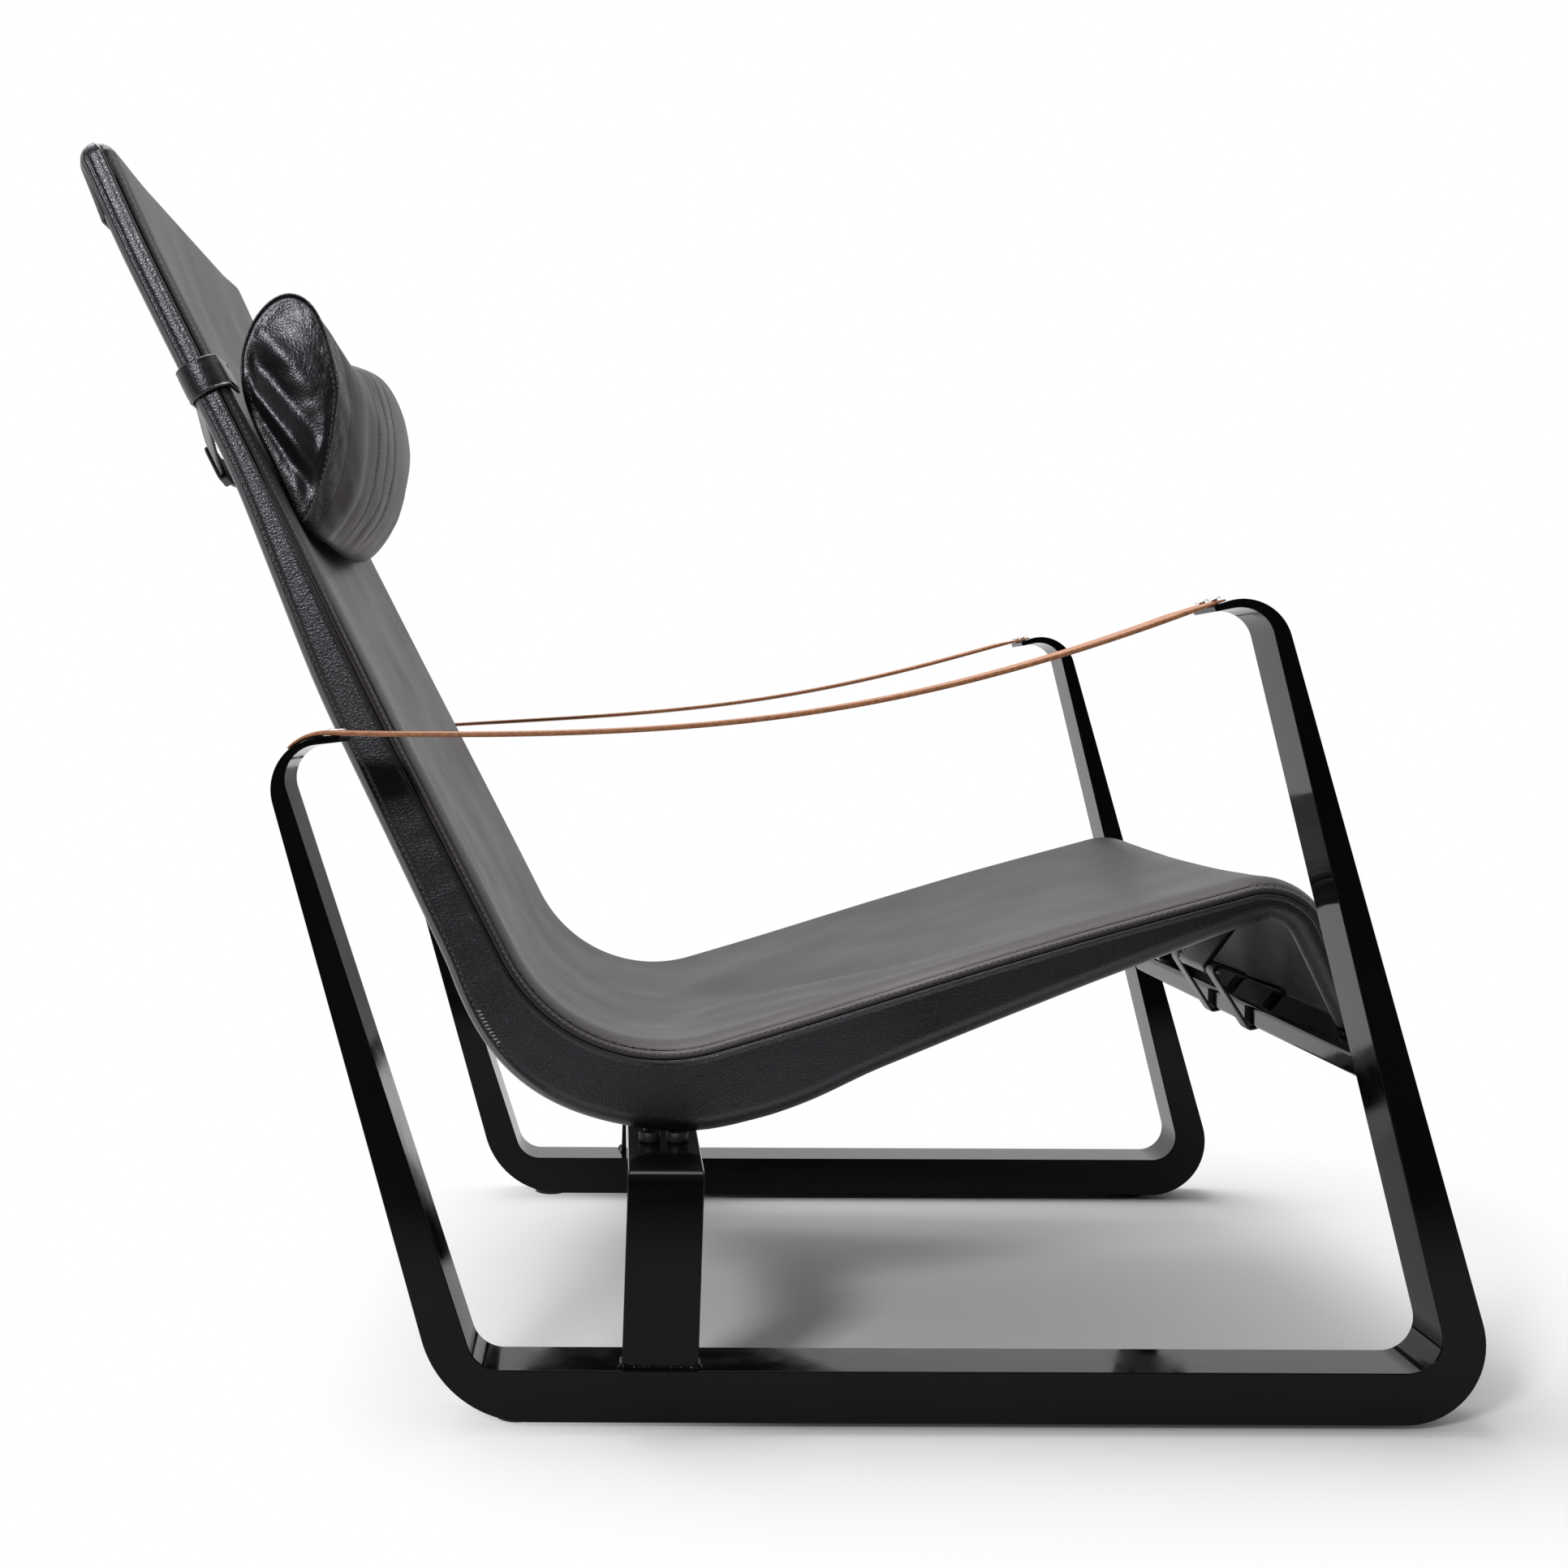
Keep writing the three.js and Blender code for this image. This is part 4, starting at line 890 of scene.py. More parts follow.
def band_spot(sign, u, v):
    toe = min(1.0, v * BAND_ROWS / TOE_ROWS)
    if toe < 1:
        s, girth = HOOD_TOP - TOE_REACH * math.cos(math.pi / 2 * toe), max(0.02, math.sin(math.pi / 2 * toe))
    else:
        s, girth = mix(HOOD_TOP, BAND_END, (v * BAND_ROWS - TOE_ROWS) / (BAND_ROWS - TOE_ROWS)), 1.0
    depth = depth_at(s)
    cell = u * BAND_COLUMNS
    flank = BAND_TOP + BAND_FLANK
    under = flank + BAND_ROUND
    inner = under + BAND_INNER
    relief = 0.0
    upper, lower = -COVER_HALF, COVER_HALF - depth
    if cell <= BAND_TOP:
        angle = mix(edge_turn(s) + math.radians(3), math.pi / 2, cell / BAND_TOP)
        n, aside = upper + COVER_HALF * math.cos(angle), COVER_HALF * math.sin(angle)
    elif cell <= flank:
        angle = math.pi / 2
        n, aside = mix(upper, lower, ((cell - BAND_TOP) / BAND_FLANK) ** 1.7), COVER_HALF
    elif cell <= under:
        step = cell - flank
        turn = REAR_TURN * step / BAND_REAR
        if step > BAND_REAR:
            turn = mix(REAR_TURN, 180, (step - BAND_REAR) / (BAND_ROUND - BAND_REAR))
        angle = math.radians(90 + turn)
        n, aside = lower + COVER_HALF * math.cos(angle), COVER_HALF * math.sin(angle)
        if s < PANEL_END + 30:
            relief = 0.5 * hump(angle - REAR_SEAM - 0.22, 0.13) - 0.95 * hump(angle - REAR_SEAM, 0.075)
    elif cell <= inner:
        n, aside, angle = mix(lower, upper, (cell - under) / BAND_INNER), -COVER_HALF, 1.5 * math.pi
    else:
        angle = math.radians(mix(270, 313, (cell - inner) / BAND_LIP))
        n, aside = upper + COVER_HALF * math.cos(angle), COVER_HALF * math.sin(angle)
    if cell <= flank:
        d = COVER_HALF * (angle - edge_turn(s)) + max(0.0, upper - n)
        relief = 0.8 * hump(d - 2.6, 1.2) - 0.8 * hump(d, 0.8)
    outer = ease(0.1, 0.9, math.sin(angle))
    pull = 0.08 + 0.8 * ease(440, 580, s) * (1 - ease(650, 740, s)) + 0.5 * ease(1130, 1180, s)
    pull += 0.7 * (1 - ease(HOOD_TOP - 8, HOOD_TOP + 16, s))
    crease = 0.42 * noise.noise(Vector((s / 9, n / 34, sign * 5.0)))
    crease += 0.3 * noise.noise(Vector((s / 26, n / 16, sign * 9.0)))
    lift = outer * pull * crease + relief - 0.25 * outer
    out = Vector((math.cos(angle), math.sin(angle)))
    n = -COVER_HALF + (n + lift * out.x + COVER_HALF) * girth
    return spot(s, n, sign * (RAIL_Y + (aside + lift * out.y) * girth))


def band_stitch(s, sign, angle, sunk=0.0):
    """Place and outward direction of a stitch on the rear of a band."""
    out = out_at(s) * math.cos(angle) + Vector((0, sign * math.sin(angle), 0))
    n = COVER_HALF - depth_at(s) + COVER_HALF * math.cos(angle)
    return spot(s, n, sign * (RAIL_Y + COVER_HALF * math.sin(angle))) - out * sunk, out


def make_bands():
    for side, sign in SIDES:
        shape = swept(BAND_COLUMNS, BAND_ROWS, lambda u, v: band_spot(sign, u, v), flip=sign > 0)
        band = piece(f"side_band_{side}", shape, BAND_HIDE, [f"side_sleeve_{side}"], lining=LINING)
        thicken(band, LEATHER - 0.4, lined=True)
        chair_seams.row(band_stitch(s, sign, REAR_SEAM + 0.01, 0.75) for s in range(66, 664, 3))
        tack = (band_stitch(s, sign, REAR_SEAM - 0.16) for s in range(635, 657, 2))
        tack_seams.row(tack, 2.6, 3.4, 0.45, 68.0)


def make_rails():
    """Tapered rails inside the bands, down to the crossbar."""
    for side, sign in SIDES:

        def rail(u, v):
            s = mix(2.6, LINE_END + 19, v)
            depth, angle = rail_depth(s), 2 * math.pi * u
            end = max(0.0, 1 - (s - 2.3) / RAIL_RADIUS)
            radius = RAIL_RADIUS * math.sqrt(max(0.02, 1 - end**2))
            centre = -COVER_HALF if math.cos(angle) > -1e-6 else COVER_HALF - depth
            return spot(s, centre + radius * math.cos(angle), sign * (RAIL_Y + radius * math.sin(angle)))

        shape = swept(32, 200, rail, closed=True, capped=True)
        piece(f"rail_{side}", shape, LACQUER, [f"seat_rail_{side}"], crisp=50)


def make_back_panel():
    def hollow_at(y):
        return PANEL_HOLLOW * (1 - (y / PANEL_HALF) ** 2)

    def panel(u, v):
        s, y = mix(24.0, PANEL_END, v), mix(-PANEL_HALF, PANEL_HALF, u)
        hollow = hollow_at(y) * ease(40, 140, s) + 0.4 * noise.noise(Vector((s / 60, y / 60, 1.7)))
        return spot(s, hollow - depth_at(s), y)

    cover = piece("rear_panel", swept(64, 90, panel), BAND_HIDE, ["back_panel"], lining=LINING)
    thicken(cover, LEATHER, lined=True)
    for y in (-223, 223):
        chair_seams.row((spot(s, -depth_at(s), y), -out_at(s)) for s in range(70, 655, 4))
    for s in (PANEL_END - 5, PANEL_END - 12):
        chair_seams.row((spot(s, hollow_at(y) - depth_at(s), y), -out_at(s)) for y in range(-222, 223, 6))


# Front fastening
ROD_PLACE = Vector((371.232, 258.029))
ROD_GAP = 2.3
BAR_GAP = 0.4
LOOP_Y = 50.0
LOOP_THICK = 2.5
TAB_TOP = Vector((390.815, 314.170))
TAB_BEND = Vector((397.297, 300.643))


def make_fastening():
    """Leather tab, steel rod and two strap loops that tie the front drop to the crossbar."""
    stand("rod", "tension_rod", ROD, 24, upright(ROD_PLACE), ZINC, (0, 1, 0))
    marks = [ROD_PLACE, *BAR_LOWS, BAR_HIGHS[0]]
    points = []
    for i, mark in enumerate(marks):
        from_out = -left_of((mark - marks[i - 1]).normalized())
        to_out = -left_of((marks[(i + 1) % 4] - mark).normalized())
        for k in range(9):
            points.append(mark + from_out.lerp(to_out, k / 8).normalized() * (BAR_GAP if i else ROD_GAP))
    line = Walk([upright(p) for p in points + points[:1]])
    for side, sign in SIDES:

        def loop(u, v):
            place, way = line.at(v * line.total, 1.2)
            across, lift = strip_section(u, 10.0, LOOP_THICK, 0.25, 2.2)
            return place + Vector((way.z, 0, -way.x)) * lift + Vector((0, sign * LOOP_Y + across, 0))

        shape = swept(STRIP_CELLS, 120, loop, closed=True)
        piece(f"strap_loop_{side}", shape, BAND_HIDE, [f"tension_strap_{side}"])
    run = ROD_PLACE - TAB_BEND
    radius = ROD_GAP + LOOP_THICK
    first = Matrix.Rotation(math.asin(radius / run.length), 2) @ (-left_of(run.normalized()))
    turns = [ROD_PLACE + (Matrix.Rotation(math.radians(a), 2) @ first) * radius for a in range(0, 201, 10)]
    points = [TAB_TOP, TAB_TOP.lerp(TAB_BEND, 0.5), TAB_BEND.lerp(turns[0], 0.03), TAB_BEND.lerp(turns[0], 0.5)]
    strip = Walk([upright(p) for p in points + turns])

    def tab(u, v):
        place, way = strip.at(v * strip.total, 2)
        across, lift = strip_section(u, 38.0, LOOP_THICK, 0.2, 3.0)
        return place + Vector((-way.z, 0, way.x)) * lift + Vector((0, across, 0))

    piece("rod_tab", swept(STRIP_CELLS, 70, tab, closed=True, capped=True), BAND_HIDE, ["tension_tab"])
    for y in (-34.5, 34.5):
        places = [strip.at(k / 64 * strip.total) for k in range(4, 60)]
        path = ((place + Vector((0, y, 0)), Vector((way.z, 0, -way.x))) for place, way in places)
        chair_seams.row(path, 3.6, 2.7, 0.36)


# Arm straps: the left one is drawn tighter than the right one
SLACK = {"left": 8.0, "right": -4.3}
STRAP_BEND, STRAP_BEND_RADIUS = Vector((-280.275, 406.275)), 34.45
STRAP_REAR, STRAP_FRONT = Vector((-269.988, 440.910)), Vector((285.594, 525.713))
STRAP_END = Vector((294.044, 528.672))
STRAP_HANDLE = 224.806
RIVET_ROWS = (
    ("front", Vector((289.967, 526.768)), heading(109.3)),
    ("rear", Vector((-275.424, 440.365)), heading(91)),
)
RIVET_Y = 14.0


def make_arm_straps():
    rear_handle = STRAP_REAR + heading(1) * STRAP_HANDLE
    front_handle = STRAP_FRONT + heading(199.3) * STRAP_HANDLE
    points = [STRAP_BEND + heading(mix(132, 91, k / 12)) * STRAP_BEND_RADIUS for k in range(13)]
    for k in range(81):
        t = k / 80
        a, b, c, d = (1 - t) ** 3, 3 * t * (1 - t) ** 2, 3 * t * t * (1 - t), t**3
        points.append(STRAP_REAR * a + rear_handle * b + front_handle * c + STRAP_FRONT * d)
    line = Walk([upright(p) for p in points + [STRAP_END]])
    total = line.total
    for side, sign in SIDES:

        def strap(u, v):
            d = v * total
            place, way = line.at(d, 4)
            thin = mix(1.2, 3.2, min(1.0, d / 26, (total - d) / 26))
            across, lift = strip_section(u, BLADE_WIDTH / 2, thin, 0.28, 3.4)
            across *= mix(0.9, 1.0, ease(0, 7, d) * ease(0, 7, total - d))
            crown = 0.5 * (1 - (across / 25) ** 2) * ease(30, 120, d) * ease(30, 120, total - d)
            hang = SLACK[side] * math.sin(math.pi * min(1.0, max(0.0, (d - 26) / (total - 34)))) ** 0.7
            up = Vector((-way.z, 0, way.x))
            return place + up * (lift - crown) + Vector((0, sign * BLADE_Y + across, hang))

        shape = swept(STRIP_CELLS, 220, strap, closed=True, capped=True)
        piece(f"arm_{side}", shape, TAN, [f"arm_strap_{side}"])
        for end, place, up in RIVET_ROWS:
            for row, offset in (("inner", -1), ("outer", 1)):
                name = f"rivet_{end}_{row}_{side}"
                spot_at = upright(place, sign * (BLADE_Y + offset * RIVET_Y))
                stand(name, f"strap_{name}", RIVET, 28, spot_at, ZINC, upright(up), 45)


# Head cushion, belt and slider

CUSHION_PLACE = 286.0
CUSHION_HALF = 205.0
CUSHION_TILT = 0.05
CHANNELS = (-128, -100, -72, 72, 100, 128)
NECK_Y = 155.0
# Height above the lower edge and distance from the back: round the leaf-shaped ends, round the neck beside them
# and round the middle of the roll
LEAF = (
    (2, 1), (15, 18), (28, 30), (49, 46), (72, 61), (92, 67), (112, 71), (128, 72), (140, 69), (148, 62),
    (150.5, 52), (148, 40), (140, 27), (124, 14), (102, 5), (78, 1.5), (52, 1), (26, 0.7),
)
NECK = (
    (-14, 4), (-13, 14), (-8, 24), (3, 38), (24, 54), (49, 67), (72, 75), (88, 77), (97, 72), (103, 63),
    (106, 52), (105, 40), (101, 28), (94, 17), (82, 8), (60, 3), (34, 1.5), (8, 0.8),
)
ROLL = (
    (-22, 2), (-26, 9), (-26, 19), (-20, 33), (-9, 47), (12, 62), (35, 74.5), (56, 82), (79, 86.5), (97, 86),
    (108, 79.5), (115, 72), (119, 63), (119, 52), (116, 40), (110, 28), (99, 16), (82, 8), (58, 3), (30, 1.5),
    (0, 0.8),
)
CUSHION_COLUMNS = 96
LEAF_ROWS = 16
ROLL_ROWS = 90
# Creases on the leaf-shaped ends: start and end as height and distance from the back, half width and rise
LEAF_CREASES = (
    (106, 7, 26, 24, 6.5, 4.2),
    (126, 16, 52, 34, 7.5, -3.6),
    (134, 32, 84, 44, 7.0, 2.0),
    (88, 3, 18, 13, 5.5, -3.0),
    (60, 44, 22, 24, 4.5, 1.6),
)


def rounded_loop(marks, count):
    """Evenly spaced points on a smooth closed line through marks."""
    marks = [Vector((u, 0, n)) for u, n in marks]
    fine = []
    for i in range(len(marks)):
        p = [marks[(i + k - 1) % len(marks)] for k in range(4)]
        for step in range(16):
            t = step / 16
            bend = (2 * p[0] - 5 * p[1] + 4 * p[2] - p[3]) * t * t
            twist = (3 * p[1] - p[0] - 3 * p[2] + p[3]) * t**3
            fine.append(0.5 * (2 * p[1] + (p[2] - p[0]) * t + bend + twist))
    fine.append(fine[0])
    line = Walk(fine)
    return [line.at(line.total * k / count)[0] for k in range(count)]


LEAF_LOOP, NECK_LOOP, ROLL_LOOP = (rounded_loop(marks, CUSHION_COLUMNS) for marks in (LEAF, NECK, ROLL))
LEAF_HEART = Vector((88.0, 0, 34.0))
ROLL_HEART = Vector((60.0, 0, 38.0))


def cushion_place(u, n, y):
    """Point of the cushion, which hangs a little askew; its rear lies on the bowed back."""
    return straight_spot(CUSHION_PLACE - u - CUSHION_TILT * (y + CUSHION_HALF), n - 3.5 * (1 - ease(0, 40, n)), y)


def leaf_edge(column, sign, aside=0.0, inward=0.0):
    """Point of the seam round a leaf-shaped end."""
    mark = LEAF_LOOP[column % CUSHION_COLUMNS]
    mark = mark.lerp(LEAF_HEART, inward / (mark - LEAF_HEART).length)
    return cushion_place(mark.x, mark.z, sign * (CUSHION_HALF + aside))


def cushion_rows():
    """Place across, and share of the leaf, of every row from one end's heart to the other's."""
    shares = [k / LEAF_ROWS for k in range(LEAF_ROWS)]
    rows = [(-CUSHION_HALF - 5 * (1 - share**2), mix(0.02, 0.95, share)) for share in shares]
    for k in range(ROLL_ROWS + 1):
        t = mix(-1, 1, k / ROLL_ROWS)
        rows.append((CUSHION_HALF * (1.3 * t - 0.3 * t**3), 1.0))
    return rows + [(-y, leaf) for y, leaf in rows[LEAF_ROWS - 1 :: -1]]


def section_mark(column, y):
    """Mark of the cushion's outline at a place across: full in the middle, a neck, then the ear at the end."""
    reach = min(abs(y), CUSHION_HALF)
    if reach < NECK_Y:
        return ROLL_LOOP[column].lerp(NECK_LOOP[column], (reach / NECK_Y) ** 1.8)
    return NECK_LOOP[column].lerp(LEAF_LOOP[column], ((reach - NECK_Y) / (CUSHION_HALF - NECK_Y)) ** 2.0)


def cushion_form():
    """Closed starting form of the cushion, a little slack."""
    rows = cushion_rows()
    last = len(rows) - 1

    def form(u, v):
        y, leaf = rows[round(v * last)]
        mark = LEAF_HEART.lerp(section_mark(round(u * CUSHION_COLUMNS) % CUSHION_COLUMNS, y), leaf)
        slack = 2.0 * ease(0, 30, CUSHION_HALF - abs(y)) * ease(4, 30, mark.z)
        mark = mark.lerp(ROLL_HEART, slack / max(1.0, (mark - ROLL_HEART).length))
        return cushion_place(mark.x, mark.z, y)

    return swept(CUSHION_COLUMNS, last, form, closed=True, capped=True)


def baked(obj):
    """Mesh of an object with its modifiers applied."""
    graph = bpy.context.evaluated_depsgraph_get()
    return bpy.data.meshes.new_from_object(obj.evaluated_get(graph), depsgraph=graph)


# Filling of the cushion by cloth simulation
FILL_STEPS = 20
FILL_RULES = {
    "quality": 6, "mass": 0.25, "tension_stiffness": 18, "compression_stiffness": 18, "shear_stiffness": 8,
    "bending_stiffness": 0.6, "shrink_min": -0.06, "use_pressure": True, "uniform_pressure_force": 3.0,
    "vertex_group_mass": "sewn", "pin_stiffness": 1.0,
}


def tree_of(points):
    tree = kdtree.KDTree(len(points))
    for i, point in enumerate(points):
        tree.insert(point, i)
    tree.balance()
    return tree


def nearest(points):
    tree = tree_of(points)
    return lambda place: tree.find(place)[2]


def swelling(shape, to_seam):
    """How the cushion's hide moves when it is filled, by cloth simulation with its seams and its rear held."""
    pad = show("cushion_form", mesh_of("cushion_form", shape.copy()))
    even = pad.modifiers.new("even", "REMESH")
    even.mode = "VOXEL"
    even.voxel_size = 4.5 * MM
    pad.data = baked(pad)
    pad.modifiers.clear()
    start = [v.co.copy() for v in pad.data.vertices]
    held = pad.vertex_groups.new(name="sewn")
    for i, place in enumerate(start):
        hold = max(1 - ease(5, 9, to_seam(place / MM)), 1 - ease(4, 9, back_marks(place / MM)[1]))
        if hold > 0:
            held.add([i], hold, "REPLACE")
    cloth = pad.modifiers.new("fill", "CLOTH")
    rules = cloth.settings
    for rule, value in FILL_RULES.items():
        setattr(rules, rule, value)
    rules.effector_weights.gravity = 0.0
    scene = bpy.context.scene
    for step in range(1, FILL_STEPS + 1):
        scene.frame_set(step)
    filled = baked(pad)
    scene.frame_set(1)
    tree = tree_of(start)
    moves = [swollen.co - place for place, swollen in zip(start, filled.vertices)]
    bpy.data.objects.remove(pad)

    def move_at(place):
        total, weights = Vector(), 0.0
        for _, i, away in tree.find_n(place, 6):
            weight = 1 / (away + 0.5 * MM)
            total += moves[i] * weight
            weights += weight
        return total / weights

    return move_at


def fill_cushion(shape, seams):
    """Fills the cushion: the seams hold and the hide between them swells and creases."""
    to_seam = nearest(seams)
    rescale(shape, MM)
    move_at = swelling(shape, to_seam)
    for v in shape.verts:
        calm = mix(0.22, 0.3, ease(CUSHION_HALF - 14, CUSHION_HALF - 4, abs(v.co.y / MM)))
        move = move_at(v.co) * ease(1, 10, to_seam(v.co / MM)) * calm
        v.co += move * min(1.0, 5 * MM / max(move.length, 1e-9))
    sharp = shape.edges.layers.float.new("crease_edge")
    for edge in shape.edges:
        if all(to_seam(v.co / MM) < 0.3 for v in edge.verts):
            edge[sharp] = 1.0
    pad = show("cushion_form", mesh_of("cushion_form", shape))
    smooth = pad.modifiers.new("smooth", "SUBSURF")
    smooth.levels = smooth.render_levels = 1
    soft = bmesh.new()
    soft.from_mesh(baked(pad))
    bpy.data.objects.remove(pad)
    rescale(soft, 1 / MM)
    return soft


def back_marks(place):
    """Height above the cushion's lower edge and distance from the back of a point."""
    flat = Vector((place.x, place.z)) - HEAD
    return CUSHION_PLACE - flat.dot(BACK_WAY) - CUSHION_TILT * (place.y + CUSHION_HALF), flat.dot(left_of(BACK_WAY))


def hits(surface, rays):
    """Places and normals where rays meet a surface."""
    found = (surface.ray_cast(start, way) for start, way in rays)
    return [(place, normal) for place, normal, _, _ in found if place]


def make_cushion():
    seams = [leaf_edge(c, sign) for sign in (-1, 1) for c in range(CUSHION_COLUMNS)]
    shape = fill_cushion(cushion_form(), seams)
    shape.normal_update()
    to_seam = nearest(seams)
    for v in shape.verts:
        u, n = back_marks(v.co)
        d = to_seam(v.co)
        end = ease(0.45, 0.85, abs(v.normal.y)) * ease(CUSHION_HALF - 24, CUSHION_HALF - 10, abs(v.co.y))
        lift = end * pulled(LEAF_CREASES, Vector((u, n)), 0.2, 0.65) * ease(1.0, 9.0, d)
        lift += 0.5 * hump(d - 5, 4) * noise.noise(v.co * 0.16)
        front = ease(8, 24, n) * (1 - end)
        for y in CHANNELS:
            lift -= front * hump(v.co.y - y, 2.4)
        lift += 0.2 * front * noise.noise(Vector((u / 40, v.co.y / 16, 4.0)))
        v.co += v.normal * lift
    surface = BVHTree.FromBMesh(shape)
    # The roll and the seam margins take the lighter seat hide and the ends take the darker band hide: one leather,
    # with the lighter tone partly painted sheen.
    for face in shape.faces:
        middle = face.calc_center_median()
        if abs(middle.y) < CUSHION_HALF - 12 or face.normal.y * middle.y < 0.3 * abs(middle.y):
            face.material_index = 1
    pad = piece("head_pad", shape, BAND_HIDE, ["head_cushion"], body="headrest", lining=SEAT_HIDE)
    welts = bmesh.new()
    for _, sign in SIDES:

        def welt(u, v):
            c = round(v * CUSHION_COLUMNS) % CUSHION_COLUMNS
            rim, angle = leaf_edge(c, sign), 2 * math.pi * u
            spread = (rim - leaf_edge(c, sign, 0.0, 5.0)).normalized()
            return rim + spread * 0.9 * math.cos(angle) + Vector((0, 1.1 * math.sin(angle), 0))

        merge(welts, swept(10, CUSHION_COLUMNS, welt, closed=True))
        rays = ((leaf_edge(c, sign, 30.0, 3.6), Vector((0, -sign, 0))) for c in range(CUSHION_COLUMNS + 1))
        head_seams.row(hits(surface, rays), 4.4, 3.2, 0.42)
    piece("pad_welts", welts, BAND_HIDE, body="headrest")
    angles = [math.radians(mix(-72, 128, k / 63)) for k in range(64)]
    ways = [out_at(200) * math.cos(angle) - upright(BACK_WAY) * math.sin(angle) for angle in angles]
    for y in CHANNELS:
        heart = cushion_place(56.0, 36.0, y)
        head_seams.row(hits(surface, [(heart + way * 160, -way) for way in ways]), 3.4, 2.9, 0.4, 0.0)


# Belt: distance from the head, centre and radius of its turn round a rail
BELT_S = 172.0
BELT_CENTRE = -12.3
BELT_MIDDLE = 14.6
BELT_THICK = 2.5
BELT_ROWS = 260
SLIDER_Y = -105
SLIDER_HALF = 12


def belt_line():
    """Points of the belt's middle, from one end of the cushion round both rails to the other end."""

    def belt_point(y, n, fall):
        return spot(BELT_S, n, y) - Vector((0, 0, fall))

    turn = []
    for a in range(0, 181, 6):
        across, out = BELT_MIDDLE * math.sin(math.radians(a)), BELT_MIDDLE * math.cos(math.radians(a))
        turn.append(belt_point(-(RAIL_Y + across), BELT_CENTRE + out, 0))
    half = [belt_point(-CUSHION_HALF - 0.3, BELT_CENTRE + BELT_MIDDLE, 0), *turn]
    rear = []
    for k in range(1, 60):
        share = k / 60
        y = mix(-RAIL_Y, RAIL_Y, share)
        slack = 6.75 * share * (1 - share) ** 2 * ease(0, 0.28, share) ** 1.3
        rear.append(belt_point(y, BELT_CENTRE - BELT_MIDDLE - 3 * slack, 36 * slack))
    return half + rear + [Vector((p.x, -p.y, p.z)) for p in reversed(half)]


def make_belt():
    line = Walk(belt_line())
    rise = -upright(BACK_WAY)

    def frame_at(d):
        place, way = line.at(d, 2)
        return place, way, way.cross(rise).normalized()

    def belt(u, v):
        place, _, out = frame_at(v * line.total)
        across, lift = strip_section(u, 12.0, BELT_THICK, 0.35, 2.8)
        return place + rise * across + out * (lift - BELT_THICK / 2)

    shape = swept(STRIP_CELLS, BELT_ROWS, belt, closed=True, capped=True)
    piece("belt", shape, BAND_HIDE, ["head_belt"], body="headrest")
    frames = [frame_at(k / BELT_ROWS * line.total) for k in range(1, BELT_ROWS)]
    for margin in (-10.4, 10.4):
        head_seams.row(((place + rise * margin + out * 1.2, out) for place, _, out in frames), 4.2, 3.1, 0.38)
    steps = (k * 0.5 for k in range(int(line.total * 2)))
    place, way, out = frame_at(next(d for d in steps if line.at(d)[0].y > SLIDER_Y and d > 60))

    def corner(share, size, power=0.32):
        return size * math.copysign(abs(share) ** power, share)

    def ring(u, v):
        """The slider: round its outside, then back through its inside."""
        angle, row = 2 * math.pi * u, round(v * 4)
        run = SLIDER_HALF if row in (1, 2) else -SLIDER_HALF
        wide, deep = (12.3, 1.9) if row in (2, 3) else (13.6, 3.6)
        return place + way * run + rise * corner(math.cos(angle), wide) + out * corner(math.sin(angle), deep)

    slider = piece("slider", swept(40, 4, ring, closed=True), NYLON, ["belt_slider"], body="headrest", crisp=50)
    round_edges(slider, 0.5, 2, 50)


make_side_frames()
make_crossbar()
make_bridge()
make_welds()
make_sheet()
make_bands()
make_rails()
make_back_panel()
make_fastening()
make_arm_straps()
make_cushion()
make_belt()
piece("sling_stitches", chair_seams.shape, THREAD)
# The bar tacks use the pale thread, which is a painted highlight.
piece("bar_tacks", tack_seams.shape, TACK_HIGHLIGHT_THREAD)
piece("belt_stitches", head_seams.shape, THREAD, body="headrest")
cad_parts["top_tube"].material_slots[0].material = LACQUER[0]


# Floor, light and camera


def make_floor():
    """Pale floor that is white away from the chair and keeps its shadow near it. On the camera's side it turns near
    black for every ray but the camera's: painted shade that the chair reflects.
    """
    shape = bmesh.new()
    bmesh.ops.create_grid(shape, x_segments=2, y_segments=2, size=9.0)
    floor = show("floor", mesh_of("floor", shape))
    f = Finish("pale_floor", Roughness=0.9, Specular_IOR_Level=0.1)
    spots = f.node("ShaderNodeSeparateXYZ", {0: f.place}).outputs

    def beyond(source, reach):
        return f.math("MAXIMUM", f.math("SUBTRACT", f.math("ABSOLUTE", source, 0.0), reach), 0.0)

    beside = beyond(f.math("SUBTRACT", spots["X"], 0.24), 0.2)
    before = beyond(spots["Y"], 0.24)
    reach = f.math("POWER", f.math("ADD", f.math("POWER", beside, 2.0), f.math("POWER", before, 2.0)), 0.5)
    away = f.spread(reach, 0.0, 1.0, 0.08, 0.34)
    rays = f.node("ShaderNodeLightPath").outputs
    # Painted shade: the floor towards the camera is near black in reflections and bounced light, and stays white to
    # the camera.
    near = f.spread(spots["Y"], 1.0, 0.0, -0.95, -0.6)
    dim = f.math("MULTIPLY", near, f.math("SUBTRACT", 1.0, rays["Is Camera Ray"]))
    f.set(Base_Color=f.blend(dim, (0.76, 0.76, 0.76), (0.05, 0.05, 0.05)))
    seen = f.math("MAXIMUM", rays["Is Camera Ray"], rays["Is Glossy Ray"])
    seen = f.math("MAXIMUM", seen, rays["Is Transmission Ray"])
    share = f.math("MULTIPLY", f.math("MULTIPLY", seen, away), f.math("SUBTRACT", 1.0, dim))
    glow = f.node("ShaderNodeEmission", Strength=1.0).outputs[0]
    both = f.node("ShaderNodeMixShader", {0: share, 1: f.shader.outputs[0], 2: glow})
    f.tree.links.new(both.outputs[0], f.tree.nodes["Material Output"].inputs["Surface"])
    floor.data.materials.append(f.material)


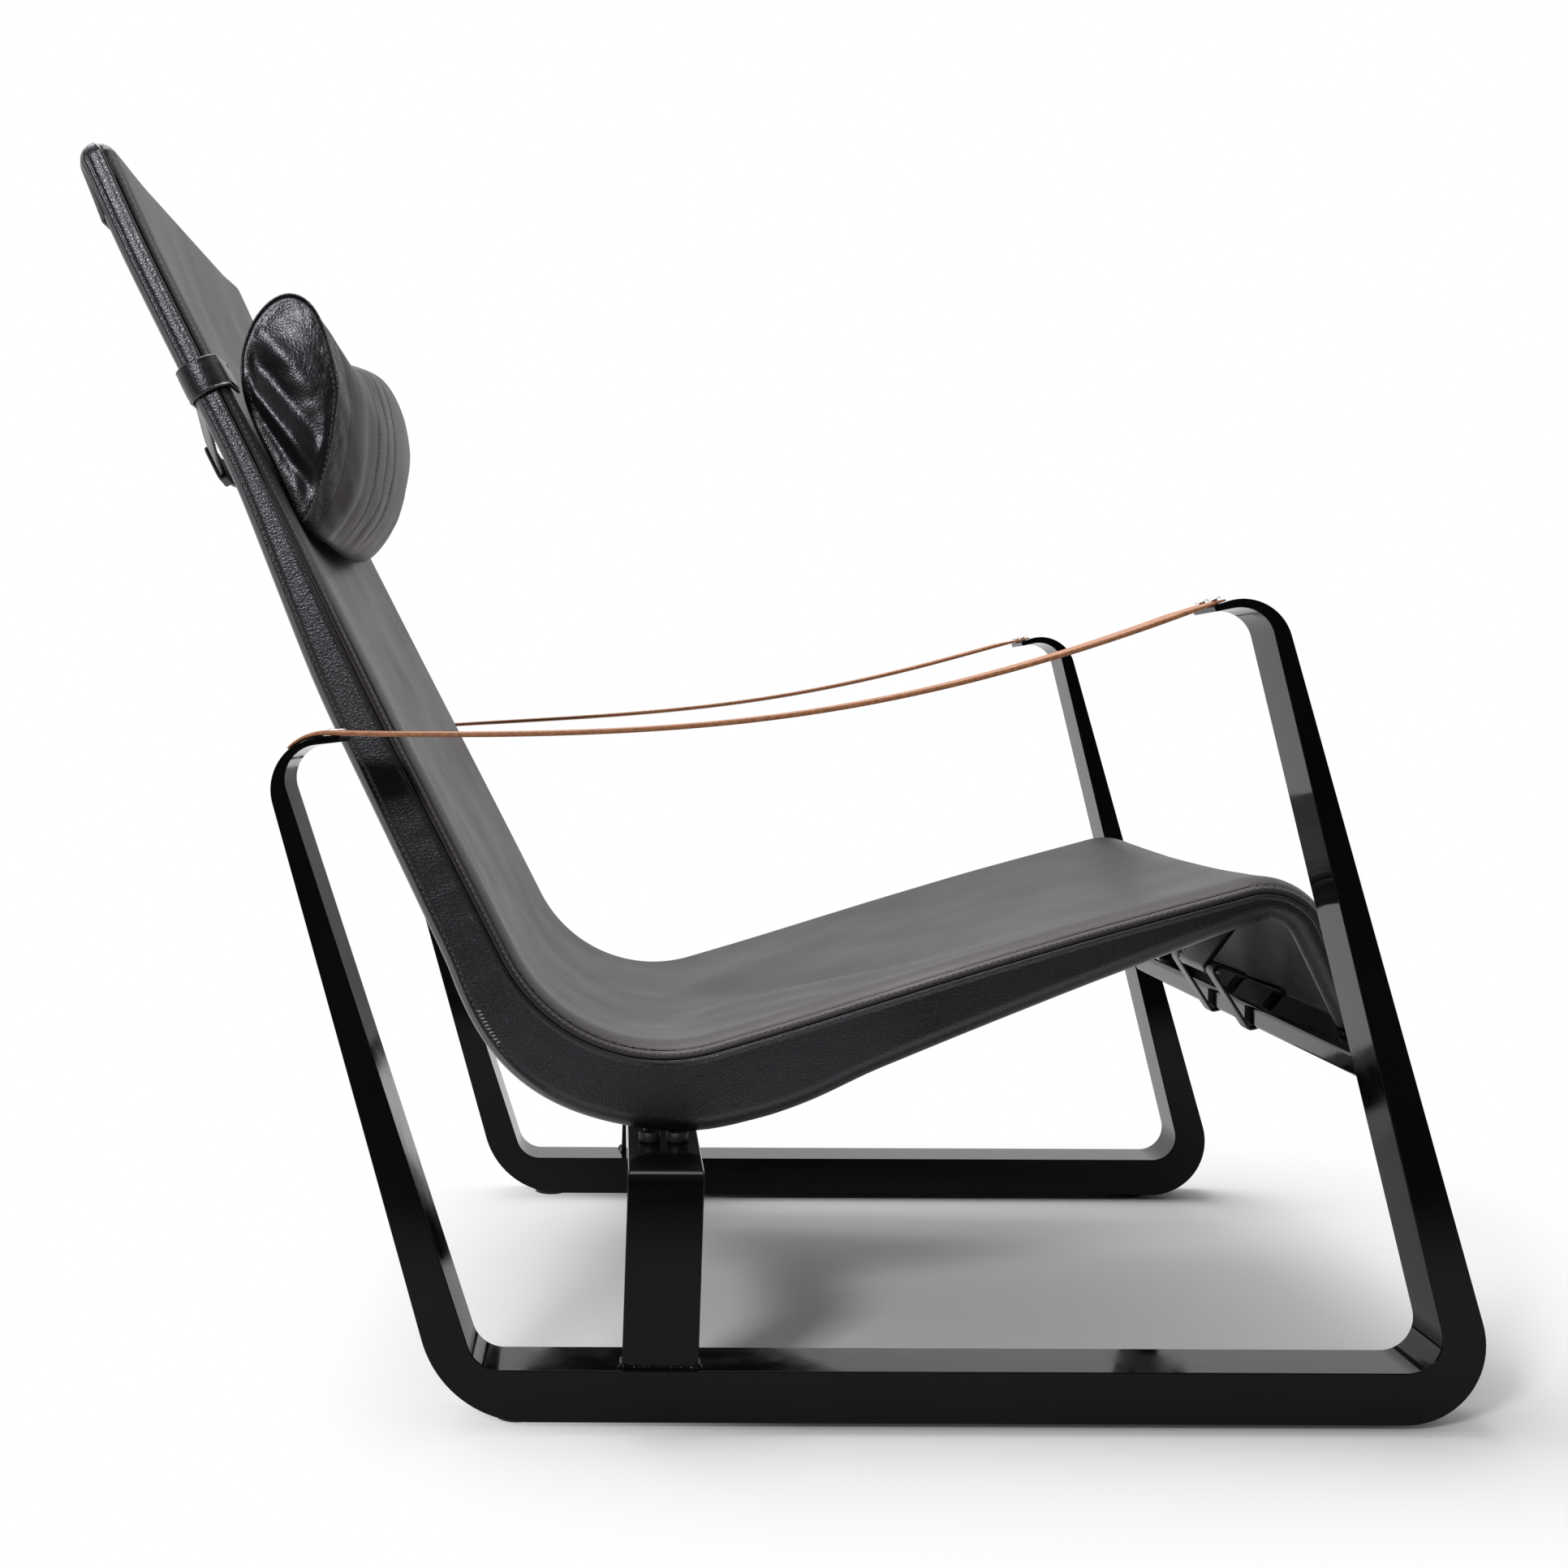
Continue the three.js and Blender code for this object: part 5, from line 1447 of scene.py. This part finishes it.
def make_world():
    """White background; the light comes from above and from behind the chair, and the camera's side is dim."""
    world = bpy.data.worlds.new("studio")
    bpy.context.scene.world = world
    world.use_nodes = True
    w = Nodes(world.node_tree)

    def ramp(source, start, end, low, high):
        return w.spread(source, low, high, start, end, interpolation_type="SMOOTHSTEP")

    way = w.node("ShaderNodeSeparateXYZ", {0: w.node("ShaderNodeTexCoord").outputs["Generated"]}).outputs
    light = ramp(way["Y"], -0.25, 0.3, 0.0, 1.0)
    above = w.math("MULTIPLY", ramp(way["Z"], 0.3, 0.85, 0.0, 0.8), ramp(way["Y"], -0.3, 0.25, 0.3, 1.0))
    screen = w.math("MULTIPLY", ramp(way["Z"], 0.0, 0.16, 0.0, 0.06), ramp(way["Z"], 0.22, 0.45, 1.0, 0.0))
    for source in (above, screen, 0.02):
        light = w.math("MAXIMUM", light, source)
    soft = w.tree.nodes["Background"]
    soft.inputs["Color"].default_value = (1, 1, 1, 1)
    w.tree.links.new(light, soft.inputs["Strength"])
    white = w.node("ShaderNodeBackground", Color=(1, 1, 1, 1), Strength=1.0)
    seen = w.node("ShaderNodeLightPath").outputs["Is Camera Ray"]
    both = w.node("ShaderNodeMixShader", {0: seen, 1: soft.outputs[0], 2: white.outputs[0]})
    w.tree.links.new(both.outputs[0], w.tree.nodes["World Output"].inputs["Surface"])


def soft_lamp(name, place, target, width, height, power):
    lamp = bpy.data.lights.new(name, "AREA")
    lamp.shape = "RECTANGLE"
    lamp.size, lamp.size_y = width, height
    lamp.energy = power
    obj = show(name, lamp)
    obj.location = place
    obj.rotation_euler = (Vector(target) - Vector(place)).to_track_quat("-Z", "Y").to_euler()


def make_camera():
    camera = bpy.data.cameras.new("camera")
    camera.lens = 47.154
    camera.sensor_width = 36.0
    camera.shift_x = 0.104
    camera.shift_y = -0.0429
    obj = show("camera", camera)
    obj.location = (-0.09127, -1.64638, 0.45328)
    obj.rotation_euler = (math.pi / 2, -0.00385, 0)
    bpy.context.scene.camera = obj


make_floor()
make_world()
soft_lamp("top_softbox", (-0.5, 0.5, 2.6), (0.05, 0.0, 0.3), 1.8, 1.8, 57)
soft_lamp("side_softbox", (-1.2, -2.65, 1.6), (-0.2, -0.25, 0.42), 0.45, 0.45, 50)
make_camera()
bpy.context.scene.view_settings.view_transform = "Standard"

bpy.context.view_layer.update()
